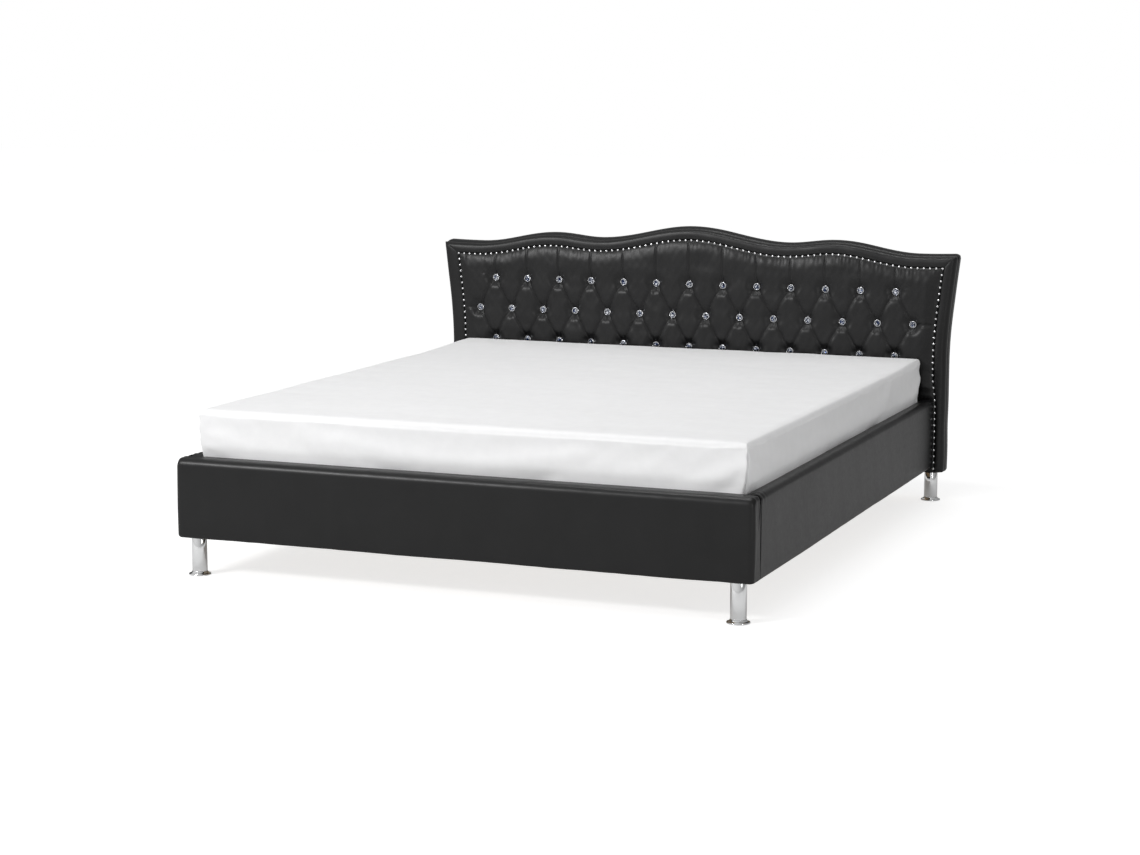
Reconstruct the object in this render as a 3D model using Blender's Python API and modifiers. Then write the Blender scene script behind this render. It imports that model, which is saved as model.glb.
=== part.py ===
"""Upholstered double bed with a serpentine tufted headboard, modelled piece by piece.

Metres, +Z up, +Y towards the headboard, origin on the floor under the middle of the bed.
"""

import math

import bmesh
import bpy
from mathutils import Matrix, Vector

# ---- Driving dimensions -------------------------------------------------------------------
FRAME_WIDTH = 1.886            # over the side rails
FRAME_LENGTH = 2.147           # footboard front to headboard front
RAIL_THICKNESS = 0.0465
FOOTBOARD_THICKNESS = 0.067
FRAME_BOTTOM = 0.122           # underside of rails and footboard above the floor
FRAME_HEIGHT = 0.251           # height of rails and footboard

HEADBOARD_DEPTH = 0.087
HEADBOARD_BOTTOM = 0.105
HEADBOARD_OVERHANG = 0.042     # straight lower part of the sides beyond the rails
HEADBOARD_HALF_WIDTH = FRAME_WIDTH / 2 + HEADBOARD_OVERHANG
FLARE_START = 0.50             # height where the sides begin to lean outwards
FLARE_END = 0.70               # height above which they lean at a steady slope
FLARE_SLOPE = 0.115
PEAK_HEIGHT = 0.9775           # top of the middle hump
VALLEY_X = 0.372
VALLEY_HEIGHT = 0.9267
SIDE_HUMP_X = 0.555
SIDE_HUMP_HEIGHT = 0.9413
SHOULDER_INSET = 0.115         # last turn of the top, in from the straight sides
SHOULDER_X = HEADBOARD_HALF_WIDTH - SHOULDER_INSET
SHOULDER_HEIGHT = 0.9008
TIP_RISE = 0.0022              # how much the top rises again from shoulder to corner
BORDER_WIDTH = 0.051           # padded border up the sides, seen from the front
TOP_BORDER_TRIM = 0.0065       # how much narrower the border is along the top
BORDER_WALL = 0.020            # padding left outside the ends of the bottom rail
BORDER_ROUNDING = 0.010

COVER = 0.0015                 # upholstery leather
GAP = 0.0003                   # clearance between touching pieces
FACE_RECESS = 0.0060           # tufted face behind the border's front
TUFTING_FOAM = 0.0240
HEADBOARD_BOARD = 0.0150
BOTTOM_RAIL_FRONT = 0.0120     # bottom rail's front face behind the border's front
BOTTOM_RAIL_HEIGHT = 0.062
POST_WIDTH = 0.060
POST_INSET = 0.185             # posts' middles, in from the straight sides
POST_X = HEADBOARD_HALF_WIDTH - POST_INSET
NAIL_STRIP_WIDTH = 0.0095       # a row of domes this wide, against the border's inner edge
NAIL_STRIP_THICKNESS = 0.0010

BUTTON_PITCH = 0.1324
BUTTON_ROWS = ((13, 0.7625), (14, 0.6450), (13, 0.5270), (14, 0.4090))
BUTTON_RADIUS = 0.0115
BUTTON_TABLE_RADIUS = 0.0070
BUTTON_HEIGHT = 0.0070
TWINE_WIDTH = 0.0012

BOARD_THICKNESS = 0.022        # side rail core
RAIL_TOP_FOAM = 0.012
FOOTBOARD_CORE = 0.043
CORNER_PADDING = 0.020         # padding round the ends of the footboard's core
FRONT_TOP_RADIUS = 0.022
BACK_TOP_RADIUS = 0.008
SIDE_TOP_RADIUS = 0.015

LEG_RADIUS = 0.024
LEG_WALL = 0.0015
LEG_PLUG = 0.012               # threaded plug closing the bottom of a leg
LEG_PLATE = 0.003
FRONT_LEG_INSET = 0.056        # front legs' middles, in from the rails' outside
FRONT_LEG_X = FRAME_WIDTH / 2 - FRONT_LEG_INSET
FRONT_LEG_Y = 0.0400           # behind the footboard's front
REAR_LEG_INSET = 0.049         # rear legs' middles, in from the headboard's straight sides
REAR_LEG_X = HEADBOARD_HALF_WIDTH - REAR_LEG_INSET
REAR_LEG_Y = 0.0220            # behind the headboard's front
FOOT_RADIUS = 0.035
FOOT_RIM = 0.0045
FOOT_HEIGHT = 0.0120
FOOT_STUD_RADIUS = 0.0060
FOOT_STUD = 0.034              # length of stud above the disc
BOLT_RADIUS = 0.004
BOLT_HEAD_RADIUS = 0.0075
BOLT_HEAD = 0.005
BOLT_CLEARANCE = 0.0004
LEG_BOLT_REACH = 0.040         # how far a leg bolt goes up into the timber

SLAT_TOP = 0.3060
SLAT_THICKNESS = 0.012
SLAT_WIDTH = 0.058
SLAT_COUNT = 14
SLAT_END_CLEARANCE = 0.004
TAPE_WIDTH = 0.030
TAPE_THICKNESS = 0.0012
LEDGE_WIDTH = 0.025
LEDGE_HEIGHT = 0.040
BEAM_WIDTH = 0.050
BEAM_HEIGHT = 0.060
BRACKET_STEEL = 0.003
BEAM_BRACKET_DEPTH = 0.040     # how far a saddle reaches under the beam
BEAM_PLATE_WIDTH = 0.100
CENTRE_LEG_RADIUS = 0.0175
CENTRE_LEG_FLANGE = 0.032
CENTRE_LEG_STATIONS = (0.74, 1.44)
CENTRE_FOOT_RADIUS = 0.022
CENTRE_STUD_RADIUS = 0.005
CORNER_BRACKET_LEG = 0.090
CORNER_BRACKET_BOTTOM = 0.150
CORNER_BRACKET_HEIGHT = 0.075
CORNER_BOLT_LENGTH = 0.025

MATTRESS_HEIGHT = 0.2200
MATTRESS_SIDE_GAP = 0.0020
MATTRESS_FOOT_GAP = 0.0080
MATTRESS_HEAD_GAP = 0.0420     # room for the tufting behind the pillow end
MATTRESS_CORNER = 0.030
SHEET = 0.0012
SHEET_HEM = 0.080              # how far the fitted sheet's hem reaches under the mattress

TOP_STEPS = 8                  # outline points between neighbouring turning points
SIDE_STEPS = 5
ROUND_STEPS = 16               # facets round a leg or foot

# ---- Places that follow from the dimensions -----------------------------------------------
OVERALL_LENGTH = FRAME_LENGTH + HEADBOARD_DEPTH
FRONT = -OVERALL_LENGTH / 2
FOOTBOARD_BACK = FRONT + FOOTBOARD_THICKNESS
HEAD = FRONT + FRAME_LENGTH                      # plane of the headboard border's front
HEAD_BACK = HEAD + HEADBOARD_DEPTH
FACE = HEAD + FACE_RECESS                        # front of the tufted leather
FOAM_FRONT = FACE + COVER + GAP
BOARD_FRONT = FOAM_FRONT + TUFTING_FOAM + GAP
BATTEN_FRONT = BOARD_FRONT + HEADBOARD_BOARD + GAP
BATTEN_BACK = HEAD_BACK - COVER - GAP
RAIL_OUTER = FRAME_WIDTH / 2
NAIL_STRIP_INSET = BORDER_WIDTH + GAP + NAIL_STRIP_WIDTH / 2
RAIL_INNER = RAIL_OUTER - RAIL_THICKNESS
FRAME_TOP = FRAME_BOTTOM + FRAME_HEIGHT
LINING = COVER + GAP                             # from an outer face to what lies under the leather
BOTTOM_RAIL_TOP = HEADBOARD_BOTTOM + GAP + BOTTOM_RAIL_HEIGHT
SLAT_BOTTOM = SLAT_TOP - SLAT_THICKNESS
SUPPORT_TOP = SLAT_BOTTOM - GAP
BEAM_BOTTOM = SUPPORT_TOP - BEAM_HEIGHT
RAIL_END = HEAD - GAP
MATTRESS_BOTTOM = SLAT_TOP + GAP
SIDES = (("left", -1), ("right", 1))

# ---- Scene, collections and materials -----------------------------------------------------
for stale in list(bpy.data.objects):
    bpy.data.objects.remove(stale)
bed = bpy.data.collections.new("sleigh_bed")
cutters = bpy.data.collections.new("cutters")
bpy.context.scene.collection.children.link(bed)
bpy.context.scene.collection.children.link(cutters)


def material(name, colour, roughness, metallic=0.0):
    made = bpy.data.materials.new(name)
    made.use_nodes = True
    shader = made.node_tree.nodes["Principled BSDF"]
    shader.inputs["Base Color"].default_value = (*colour, 1.0)
    shader.inputs["Roughness"].default_value = roughness
    shader.inputs["Metallic"].default_value = metallic
    made.diffuse_color = (*colour, 1.0)
    return made


LEATHER = material("black_leather", (0.030, 0.030, 0.032), 0.42)
DUST_CLOTH = material("dust_cloth", (0.02, 0.02, 0.02), 0.9)
FOAM = material("foam", (0.78, 0.74, 0.60), 0.95)
WOOD = material("pine", (0.62, 0.46, 0.28), 0.65)
PANEL = material("plywood", (0.55, 0.42, 0.27), 0.7)
CHROME = material("chrome", (0.86, 0.86, 0.88), 0.06, 1.0)
STEEL = material("black_steel", (0.06, 0.06, 0.065), 0.45, 0.8)
ZINC = material("zinc_steel", (0.55, 0.56, 0.58), 0.35, 1.0)
CRYSTAL = material("crystal", (0.85, 0.88, 0.95), 0.05)
LINEN = material("white_sheet", (0.90, 0.90, 0.90), 0.9)
TICKING = material("ticking", (0.85, 0.84, 0.80), 0.9)


# ---- Builders -----------------------------------------------------------------------------
def as_object(name, mesh, finish, location=(0, 0, 0), collection=None):
    made = bpy.data.objects.new(name, mesh)
    made.location = location
    (collection or bed).objects.link(made)
    if finish:
        mesh.materials.clear()
        mesh.materials.append(finish)
    return made


def guide(made):
    """Marks an object as a cutter, which isn't a piece of the bed."""
    made.hide_render = True
    made.display_type = "WIRE"
    return made


def box(name, low, high, finish=None, collection=None):
    """A block between two opposite corners, with its origin at its centre."""
    low, high = Vector(low), Vector(high)
    mesh = bpy.data.meshes.new(name)
    shape = bmesh.new()
    bmesh.ops.create_cube(shape, size=1.0, matrix=Matrix.Diagonal((*(high - low), 1.0)))
    shape.to_mesh(mesh)
    shape.free()
    return as_object(name, mesh, finish, (low + high) / 2, collection)


def prism(name, outline, along, start, end, finish=None, collection=None):
    """A flat outline extruded along an axis: the outline is (x, z), (y, z) or (x, y)."""
    curve = bpy.data.curves.new(name, "CURVE")
    curve.dimensions = "2D"
    curve.fill_mode = "BOTH"
    curve.extrude = (end - start) / 2
    spline = curve.splines.new("POLY")
    spline.points.add(len(outline) - 1)
    for point, (u, v) in zip(spline.points, outline):
        point.co = (u, v, 0, 1)
    spline.use_cyclic_u = True
    drawn = bpy.data.objects.new(name, curve)
    bed.objects.link(drawn)
    middle = (start + end) / 2
    turn = {
        "y": Matrix(((1, 0, 0, 0), (0, 0, -1, middle), (0, 1, 0, 0), (0, 0, 0, 1))),
        "x": Matrix(((0, 0, 1, middle), (1, 0, 0, 0), (0, 1, 0, 0), (0, 0, 0, 1))),
        "z": Matrix(((1, 0, 0, 0), (0, 1, 0, 0), (0, 0, 1, middle), (0, 0, 0, 1))),
    }[along]
    bpy.context.view_layer.update()
    ready = drawn.evaluated_get(bpy.context.evaluated_depsgraph_get())
    mesh = bpy.data.meshes.new_from_object(ready)
    bpy.data.objects.remove(drawn)
    bpy.data.curves.remove(curve)
    shape = bmesh.new()
    shape.from_mesh(mesh)
    bmesh.ops.remove_doubles(shape, verts=shape.verts, dist=0.00005)
    bmesh.ops.transform(shape, matrix=turn, verts=shape.verts)
    bmesh.ops.recalc_face_normals(shape, faces=shape.faces)
    shape.to_mesh(mesh)
    shape.free()
    return as_object(name, mesh, finish, (0, 0, 0), collection)


def turned(name, profile, centre, finish, steps=ROUND_STEPS):
    """A round piece from (radius, z) points, listed down its outer side and back up inside."""
    mesh = bpy.data.meshes.new(name)
    shape = bmesh.new()
    points = [shape.verts.new((radius, 0, z)) for radius, z in profile]
    for above, below in zip(points, points[1:]):
        shape.edges.new((above, below))
    if profile[0][0] > 0 and profile[-1][0] > 0:
        shape.edges.new((points[-1], points[0]))
    shape.to_mesh(mesh)
    shape.free()
    made = as_object(name, mesh, finish, (centre[0], centre[1], 0))
    screw = made.modifiers.new("turn", "SCREW")
    screw.axis = "Z"
    screw.steps = steps
    screw.render_steps = steps
    screw.use_merge_vertices = True
    screw.merge_threshold = 0.0001
    screw.use_smooth_shade = True
    return made


def rod(name, centre, low, high, radius, collection=None):
    """A plain upright round bar, used as a cutter."""
    mesh = bpy.data.meshes.new(name)
    shape = bmesh.new()
    bmesh.ops.create_cone(
        shape, cap_ends=True, segments=16, radius1=radius, radius2=radius, depth=high - low
    )
    shape.to_mesh(mesh)
    shape.free()
    return as_object(name, mesh, None, (centre[0], centre[1], (low + high) / 2), collection)


def boolean(made, tool, operation="DIFFERENCE"):
    step = made.modifiers.new(tool.name, "BOOLEAN")
    step.operation = operation
    step.solver = "EXACT"
    step.object = tool
    return made


def rounded(made, width, segments=2, angle=50):
    step = made.modifiers.new("rounding", "BEVEL")
    step.width = width
    step.segments = segments
    step.limit_method = "ANGLE"
    step.angle_limit = math.radians(angle)
    return made


def arc(centre, radius, start, end, steps=4):
    """Points on an arc, with the angles in degrees."""
    points = []
    for i in range(steps + 1):
        angle = math.radians(start + (end - start) * i / steps)
        points.append((centre[0] + radius * math.cos(angle), centre[1] + radius * math.sin(angle)))
    return points


def round_topped(low, high, bottom, top, low_radius, high_radius):
    """Outline of a rail's section: flat bottom, with both top corners rounded."""
    return (
        [(low, bottom), (high, bottom)]
        + arc((high - high_radius, top - high_radius), high_radius, 0, 90)
        + arc((low + low_radius, top - low_radius), low_radius, 90, 180)
    )


# ---- Headboard outline --------------------------------------------------------------------
TURNS = (
    (0.0, PEAK_HEIGHT),
    (VALLEY_X, VALLEY_HEIGHT),
    (SIDE_HUMP_X, SIDE_HUMP_HEIGHT),
    (SHOULDER_X, SHOULDER_HEIGHT),
)


def top_height(x):
    """Height of the serpentine top: half cosine waves between the turning points."""
    x = abs(x)
    for (x0, z0), (x1, z1) in zip(TURNS, TURNS[1:]):
        if x <= x1:
            return z0 + (z1 - z0) * (1 - math.cos(math.pi * (x - x0) / (x1 - x0))) / 2
    return SHOULDER_HEIGHT + TIP_RISE * ((x - SHOULDER_X) / 0.12) ** 2


def side_reach(z):
    """Half width of the headboard at a height: upright, then leaning outwards."""
    if z <= FLARE_START:
        return HEADBOARD_HALF_WIDTH
    bend = FLARE_END - FLARE_START
    curved = FLARE_SLOPE / (2 * bend) * min(z - FLARE_START, bend) ** 2
    return HEADBOARD_HALF_WIDTH + curved + FLARE_SLOPE * max(z - FLARE_END, 0)


def inset_top(x, inset):
    slope = (top_height(x + 0.001) - top_height(x - 0.001)) / 0.002
    drop = inset - TOP_BORDER_TRIM * min(inset / BORDER_WIDTH, 1)
    return top_height(x) - drop * math.hypot(1, slope)


def inset_side(z, inset):
    slope = (side_reach(z + 0.001) - side_reach(z - 0.001)) / 0.002
    return side_reach(z) - inset * math.hypot(1, slope)


def corner(inset):
    """Where the inset top and the inset side meet."""
    x, z = HEADBOARD_HALF_WIDTH, SHOULDER_HEIGHT
    for _ in range(12):
        z = inset_top(x, inset)
        x = inset_side(z, inset)
    return x, z


def side_line(inset, bottom):
    """Points up the right side, from the bottom to just under the corner."""
    corner_z = corner(inset)[1]
    heights = [bottom, FLARE_START]
    heights += [
        FLARE_START + (FLARE_END - FLARE_START) * i / SIDE_STEPS for i in range(1, SIDE_STEPS + 1)
    ]
    return [(inset_side(z, inset), z) for z in heights if bottom <= z < corner_z - 0.004]


def top_line(inset):
    """Points along the top, from the right corner to the left one."""
    corner_x, corner_z = corner(inset)
    places = []
    for (x0, _), (x1, _) in zip(TURNS, TURNS[1:]):
        places += [x0 + (x1 - x0) * i / TOP_STEPS for i in range(TOP_STEPS)]
    places += [SHOULDER_X + (corner_x - SHOULDER_X) * i / 3 for i in range(3)]
    right = [(x, inset_top(x, inset)) for x in places] + [(corner_x, corner_z)]
    return right[::-1] + [(-x, z) for x, z in right[1:]]


def outline(inset, bottom=HEADBOARD_BOTTOM):
    """The closed headboard outline, moved inwards by inset, cut off level at the bottom."""
    side = side_line(inset, bottom)
    return side + top_line(inset) + [(-x, z) for x, z in side[::-1]]


# ---- Headboard ----------------------------------------------------------------------------
def borders():
    """The padded border: one bent length on top and one up each side, mitred at the corners."""
    def padded(name, shape):
        made = prism(name, shape, "y", HEAD, HEAD_BACK, LEATHER)
        return rounded(made, BORDER_ROUNDING)

    padded("border_top", top_line(0) + top_line(BORDER_WIDTH)[::-1])
    outer, inner = Vector(corner(0)), Vector(corner(BORDER_WIDTH))
    below_mitre = Vector((0, -GAP * 2))
    reach = HEADBOARD_HALF_WIDTH - BORDER_WALL
    rail_end = guide(box(
        "rail_end_space", (-reach, HEAD + BOTTOM_RAIL_FRONT - GAP, HEADBOARD_BOTTOM - 0.05),
        (reach, HEAD_BACK + 0.01, BOTTOM_RAIL_TOP + GAP), collection=cutters))
    for side, sign in SIDES:
        up = side_line(0, HEADBOARD_BOTTOM) + [outer + below_mitre]
        down = side_line(BORDER_WIDTH, HEADBOARD_BOTTOM) + [inner + below_mitre]
        upright = padded("border_" + side, [(sign * x, z) for x, z in up + down[::-1]])
        boolean(upright, rail_end)


def tufted_face():
    """The leather of the tufted panel over its foam."""
    edge = BORDER_WIDTH + GAP
    prism("tufted_cover", outline(edge), "y", FACE, FACE + COVER, LEATHER)
    prism("tufting_foam", outline(edge, BOTTOM_RAIL_TOP + GAP), "y",
          FOAM_FRONT, FOAM_FRONT + TUFTING_FOAM, FOAM)


def headboard_frame():
    """Board, posts and bottom rail that carry the upholstery and the rear legs."""
    inside = BORDER_WIDTH + GAP
    prism("headboard_board", outline(inside, BOTTOM_RAIL_TOP + GAP), "y",
          BOARD_FRONT, BOARD_FRONT + HEADBOARD_BOARD, PANEL)
    rail_end = HEADBOARD_HALF_WIDTH - BORDER_WALL - GAP
    rail = box("headboard_bottom_rail",
               (-rail_end, HEAD + BOTTOM_RAIL_FRONT, HEADBOARD_BOTTOM + GAP),
               (rail_end, BATTEN_BACK, BOTTOM_RAIL_TOP), WOOD)
    for side, sign in SIDES:
        ends = sorted((sign * (POST_X - POST_WIDTH / 2), sign * (POST_X + POST_WIDTH / 2)))
        box("headboard_post_" + side, (ends[0], BATTEN_FRONT, BOTTOM_RAIL_TOP + GAP),
            (ends[1], BATTEN_BACK, SHOULDER_HEIGHT - 0.06), WOOD)
    prism("headboard_back_cover", outline(inside), "y", HEAD_BACK - COVER, HEAD_BACK, DUST_CLOTH)
    return rail


def nail_strips():
    """Decorative nail strips that hold the leather's edge along the top and both sides."""
    half = NAIL_STRIP_WIDTH / 2
    front = FACE - GAP - NAIL_STRIP_THICKNESS
    back = FACE - GAP
    outer, inner = NAIL_STRIP_INSET - half, NAIL_STRIP_INSET + half
    top = top_line(outer)[1:-1] + top_line(inner)[1:-1][::-1]
    prism("nail_strip_top", top, "y", front, back, ZINC)
    end = corner(inner)[1] - half
    for side, sign in SIDES:
        low = HEADBOARD_BOTTOM + 0.008
        up = [p for p in side_line(outer, low)] + [(inset_side(end, outer), end)]
        down = [p for p in side_line(inner, low)] + [(inset_side(end, inner), end)]
        shape = [(sign * x, z) for x, z in up + down[::-1]]
        prism("nail_strip_" + side, shape, "y", front, back, ZINC)


def button_rows():
    """Each row of crystal buttons, joined by the button twine that ties the row."""
    seat = FACE - GAP
    for number, (count, height) in enumerate(BUTTON_ROWS, 1):
        first = -(count - 1) / 2 * BUTTON_PITCH
        mesh = bpy.data.meshes.new("crystals")
        shape = bmesh.new()
        for i in range(count):
            place = Matrix.Translation((first + i * BUTTON_PITCH, seat - BUTTON_HEIGHT / 2, height))
            bmesh.ops.create_cone(
                shape, cap_ends=True, segments=6, radius1=BUTTON_RADIUS,
                radius2=BUTTON_TABLE_RADIUS, depth=BUTTON_HEIGHT,
                matrix=place @ Matrix.Rotation(math.radians(90), 4, "X"))
        shape.to_mesh(mesh)
        shape.free()
        crystals = as_object("crystals_%d" % number, mesh, CRYSTAL, collection=cutters)
        row = box("button_row_%d" % number,
                  (first, seat - 2 * TWINE_WIDTH, height - TWINE_WIDTH / 2),
                  (-first, seat - TWINE_WIDTH, height + TWINE_WIDTH / 2), CRYSTAL)
        boolean(row, guide(crystals), "UNION")


# ---- Side rails and footboard -------------------------------------------------------------
def side_rail(side, sign):
    """Board, foam on its outer face and top, and the leather sleeve over both."""
    start, end = FOOTBOARD_BACK + GAP, RAIL_END
    section = round_topped(RAIL_INNER, RAIL_OUTER, FRAME_BOTTOM, FRAME_TOP,
                           BACK_TOP_RADIUS, SIDE_TOP_RADIUS)
    hollow = round_topped(RAIL_INNER + COVER, RAIL_OUTER - COVER, FRAME_BOTTOM - 0.02,
                          FRAME_TOP - COVER, BACK_TOP_RADIUS - COVER, SIDE_TOP_RADIUS - COVER)
    board_low, board_high = RAIL_INNER + LINING, RAIL_INNER + LINING + BOARD_THICKNESS
    board_top = FRAME_TOP - LINING - RAIL_TOP_FOAM
    foam_high, foam_top = RAIL_OUTER - LINING, FRAME_TOP - LINING
    foam = (
        [(board_high + GAP, FRAME_BOTTOM + GAP), (foam_high, FRAME_BOTTOM + GAP)]
        + arc((foam_high - SIDE_TOP_RADIUS + LINING, foam_top - SIDE_TOP_RADIUS + LINING),
              SIDE_TOP_RADIUS - LINING, 0, 90)
        + arc((board_low + BACK_TOP_RADIUS - LINING, foam_top - BACK_TOP_RADIUS + LINING),
              BACK_TOP_RADIUS - LINING, 90, 180)
        + [(board_low, board_top + GAP), (board_high + GAP, board_top + GAP)]
    )

    def mirrored(points):
        return [(sign * x, z) for x, z in points]

    cover = prism("rail_cover_" + side, mirrored(section), "y", start, end, LEATHER)
    cavity = guide(prism("rail_cavity_" + side, mirrored(hollow), "y", start + COVER, end - COVER,
                         collection=cutters))
    boolean(cover, cavity)
    inner_start, inner_end = start + LINING, end - LINING
    prism("rail_foam_" + side, mirrored(foam), "y", inner_start, inner_end, FOAM)
    xs = sorted((sign * board_low, sign * board_high))
    board = box("rail_board_" + side, (xs[0], inner_start, FRAME_BOTTOM + GAP),
                (xs[1], inner_end, board_top), WOOD)
    xs = sorted((sign * (RAIL_INNER - GAP - LEDGE_WIDTH), sign * (RAIL_INNER - GAP)))
    ledge_start = FOOTBOARD_BACK + 0.01
    box("slat_ledge_" + side, (xs[0], ledge_start, SUPPORT_TOP - LEDGE_HEIGHT),
        (xs[1], FACE - 0.01, SUPPORT_TOP), WOOD)
    return cover, board


def footboard():
    """Core, foam over its front and top, and the leather over both."""
    section = round_topped(FRONT, FOOTBOARD_BACK, FRAME_BOTTOM, FRAME_TOP,
                           FRONT_TOP_RADIUS, BACK_TOP_RADIUS)
    hollow = round_topped(FRONT + COVER, FOOTBOARD_BACK - COVER, FRAME_BOTTOM - 0.02,
                          FRAME_TOP - COVER, FRONT_TOP_RADIUS - COVER, BACK_TOP_RADIUS - COVER)
    cover = prism("footboard_cover", section, "x", -RAIL_OUTER, RAIL_OUTER, LEATHER)
    cavity = guide(prism("footboard_cavity", hollow, "x", -RAIL_OUTER + COVER, RAIL_OUTER - COVER,
                         collection=cutters))
    boolean(cover, cavity)
    core_back = FOOTBOARD_BACK - LINING
    core_front = core_back - FOOTBOARD_CORE
    core_top = FRAME_TOP - LINING - RAIL_TOP_FOAM
    foam_front, foam_top = FRONT + LINING, FRAME_TOP - LINING
    foam = (
        [(foam_front, FRAME_BOTTOM + GAP), (core_front - GAP, FRAME_BOTTOM + GAP),
         (core_front - GAP, core_top + GAP), (core_back, core_top + GAP)]
        + arc((core_back - BACK_TOP_RADIUS + LINING, foam_top - BACK_TOP_RADIUS + LINING),
              BACK_TOP_RADIUS - LINING, 0, 90)
        + arc((foam_front + FRONT_TOP_RADIUS - LINING, foam_top - FRONT_TOP_RADIUS + LINING),
              FRONT_TOP_RADIUS - LINING, 90, 180)
    )
    end = RAIL_OUTER - LINING
    prism("footboard_foam", foam, "x", -end, end, FOAM)
    core_end = end - CORNER_PADDING
    return box("footboard_core", (-core_end, core_front, FRAME_BOTTOM + GAP),
               (core_end, core_back, core_top), WOOD)


# ---- Legs, feet and bolts -----------------------------------------------------------------
def foot_profile(radius, stud_radius, stud_top):
    return [
        (0.0, stud_top), (stud_radius - 0.001, stud_top), (stud_radius, stud_top - 0.001),
        (stud_radius, FOOT_HEIGHT), (radius * 0.55, FOOT_HEIGHT - 0.0008),
        (radius * 0.80, FOOT_HEIGHT - 0.0035), (radius * 0.96, FOOT_RIM + 0.0015),
        (radius, FOOT_RIM), (radius, 0.0015), (radius - 0.0015, 0.0), (0.0, 0.0),
    ]


def leg(place, centre, top, timber):
    """A chrome tube leg, its levelling foot, and the bolt that holds it to the timber above."""
    bottom, head = FOOT_HEIGHT + GAP, top - GAP
    bore = FOOT_STUD_RADIUS + BOLT_CLEARANCE
    bolt_hole = BOLT_RADIUS + BOLT_CLEARANCE
    inner = LEG_RADIUS - LEG_WALL
    turned("leg_" + place, [
        (bolt_hole, head), (LEG_RADIUS - 0.001, head), (LEG_RADIUS, head - 0.001),
        (LEG_RADIUS, bottom + 0.001), (LEG_RADIUS - 0.001, bottom), (bore, bottom),
        (bore, bottom + LEG_PLUG), (inner, bottom + LEG_PLUG),
        (inner, head - LEG_PLATE), (bolt_hole, head - LEG_PLATE),
    ], centre, CHROME)
    turned("foot_" + place, foot_profile(FOOT_RADIUS, FOOT_STUD_RADIUS, FOOT_HEIGHT + FOOT_STUD),
           centre, CHROME)
    under, tip = head - LEG_PLATE - GAP, top + LEG_BOLT_REACH
    turned("leg_bolt_" + place, [
        (0.0, tip), (BOLT_RADIUS - 0.001, tip), (BOLT_RADIUS, tip - 0.001), (BOLT_RADIUS, under),
        (BOLT_HEAD_RADIUS, under), (BOLT_HEAD_RADIUS, under - BOLT_HEAD), (0.0, under - BOLT_HEAD),
    ], centre, ZINC, 12)
    hole = guide(rod("leg_hole_" + place, centre, top - 0.02, tip + BOLT_CLEARANCE, bolt_hole,
                     cutters))
    boolean(timber, hole)


def centre_support(place, station):
    """A steel leg under the middle of the centre beam, with its own levelling foot."""
    centre = (0.0, FRONT + station)
    bottom, head = FOOT_HEIGHT + GAP, BEAM_BOTTOM - GAP
    bore = CENTRE_STUD_RADIUS + BOLT_CLEARANCE
    inner = CENTRE_LEG_RADIUS - LEG_WALL
    turned("centre_leg_" + place, [
        (BOLT_RADIUS, head), (CENTRE_LEG_FLANGE, head), (CENTRE_LEG_FLANGE, head - BRACKET_STEEL),
        (CENTRE_LEG_RADIUS, head - BRACKET_STEEL), (CENTRE_LEG_RADIUS, bottom), (bore, bottom),
        (bore, bottom + LEG_PLUG), (inner, bottom + LEG_PLUG), (inner, head - BRACKET_STEEL),
        (BOLT_RADIUS, head - BRACKET_STEEL),
    ], centre, STEEL, 16)
    turned("centre_foot_" + place,
           foot_profile(CENTRE_FOOT_RADIUS, CENTRE_STUD_RADIUS, FOOT_HEIGHT + FOOT_STUD),
           centre, STEEL, 16)


def corner_joint(place, sign, corner_y, inward, cover, board):
    """Steel angle bracket inside a corner, and the bolt through it into the side rail's board."""
    x0, y0 = RAIL_INNER - GAP, corner_y + inward * GAP
    reach, steel = CORNER_BRACKET_LEG, BRACKET_STEEL
    shape = [
        (x0, y0), (x0 - reach, y0), (x0 - reach, y0 + inward * steel),
        (x0 - steel, y0 + inward * steel), (x0 - steel, y0 + inward * reach),
        (x0, y0 + inward * reach),
    ]
    shape = [(sign * x, y) for x, y in shape]
    top = CORNER_BRACKET_BOTTOM + CORNER_BRACKET_HEIGHT
    bracket = prism("corner_bracket_" + place, shape, "z", CORNER_BRACKET_BOTTOM, top, STEEL)
    bolt_y = y0 + inward * reach * 0.6
    bolt_z = (CORNER_BRACKET_BOTTOM + top) / 2
    head = x0 - steel - GAP
    bolt = turned("corner_bolt_" + place, [
        (0.0, CORNER_BOLT_LENGTH), (BOLT_RADIUS - 0.001, CORNER_BOLT_LENGTH),
        (BOLT_RADIUS, CORNER_BOLT_LENGTH - 0.001), (BOLT_RADIUS, 0.0), (BOLT_HEAD_RADIUS, 0.0),
        (BOLT_HEAD_RADIUS, -BOLT_HEAD), (0.0, -BOLT_HEAD),
    ], (0, 0), ZINC, 12)
    bolt.rotation_euler = (0, sign * math.radians(90), 0)
    bolt.location = (sign * head, bolt_y, bolt_z)
    hole = guide(rod("corner_hole_" + place, (0, 0), -0.02,
                     CORNER_BOLT_LENGTH + BOLT_CLEARANCE, BOLT_RADIUS + BOLT_CLEARANCE, cutters))
    hole.rotation_euler = bolt.rotation_euler
    middle = (CORNER_BOLT_LENGTH + BOLT_CLEARANCE - 0.02) / 2
    hole.location = (sign * (head + middle), bolt_y, bolt_z)
    for piece in (bracket, cover, board):
        boolean(piece, hole)


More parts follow.
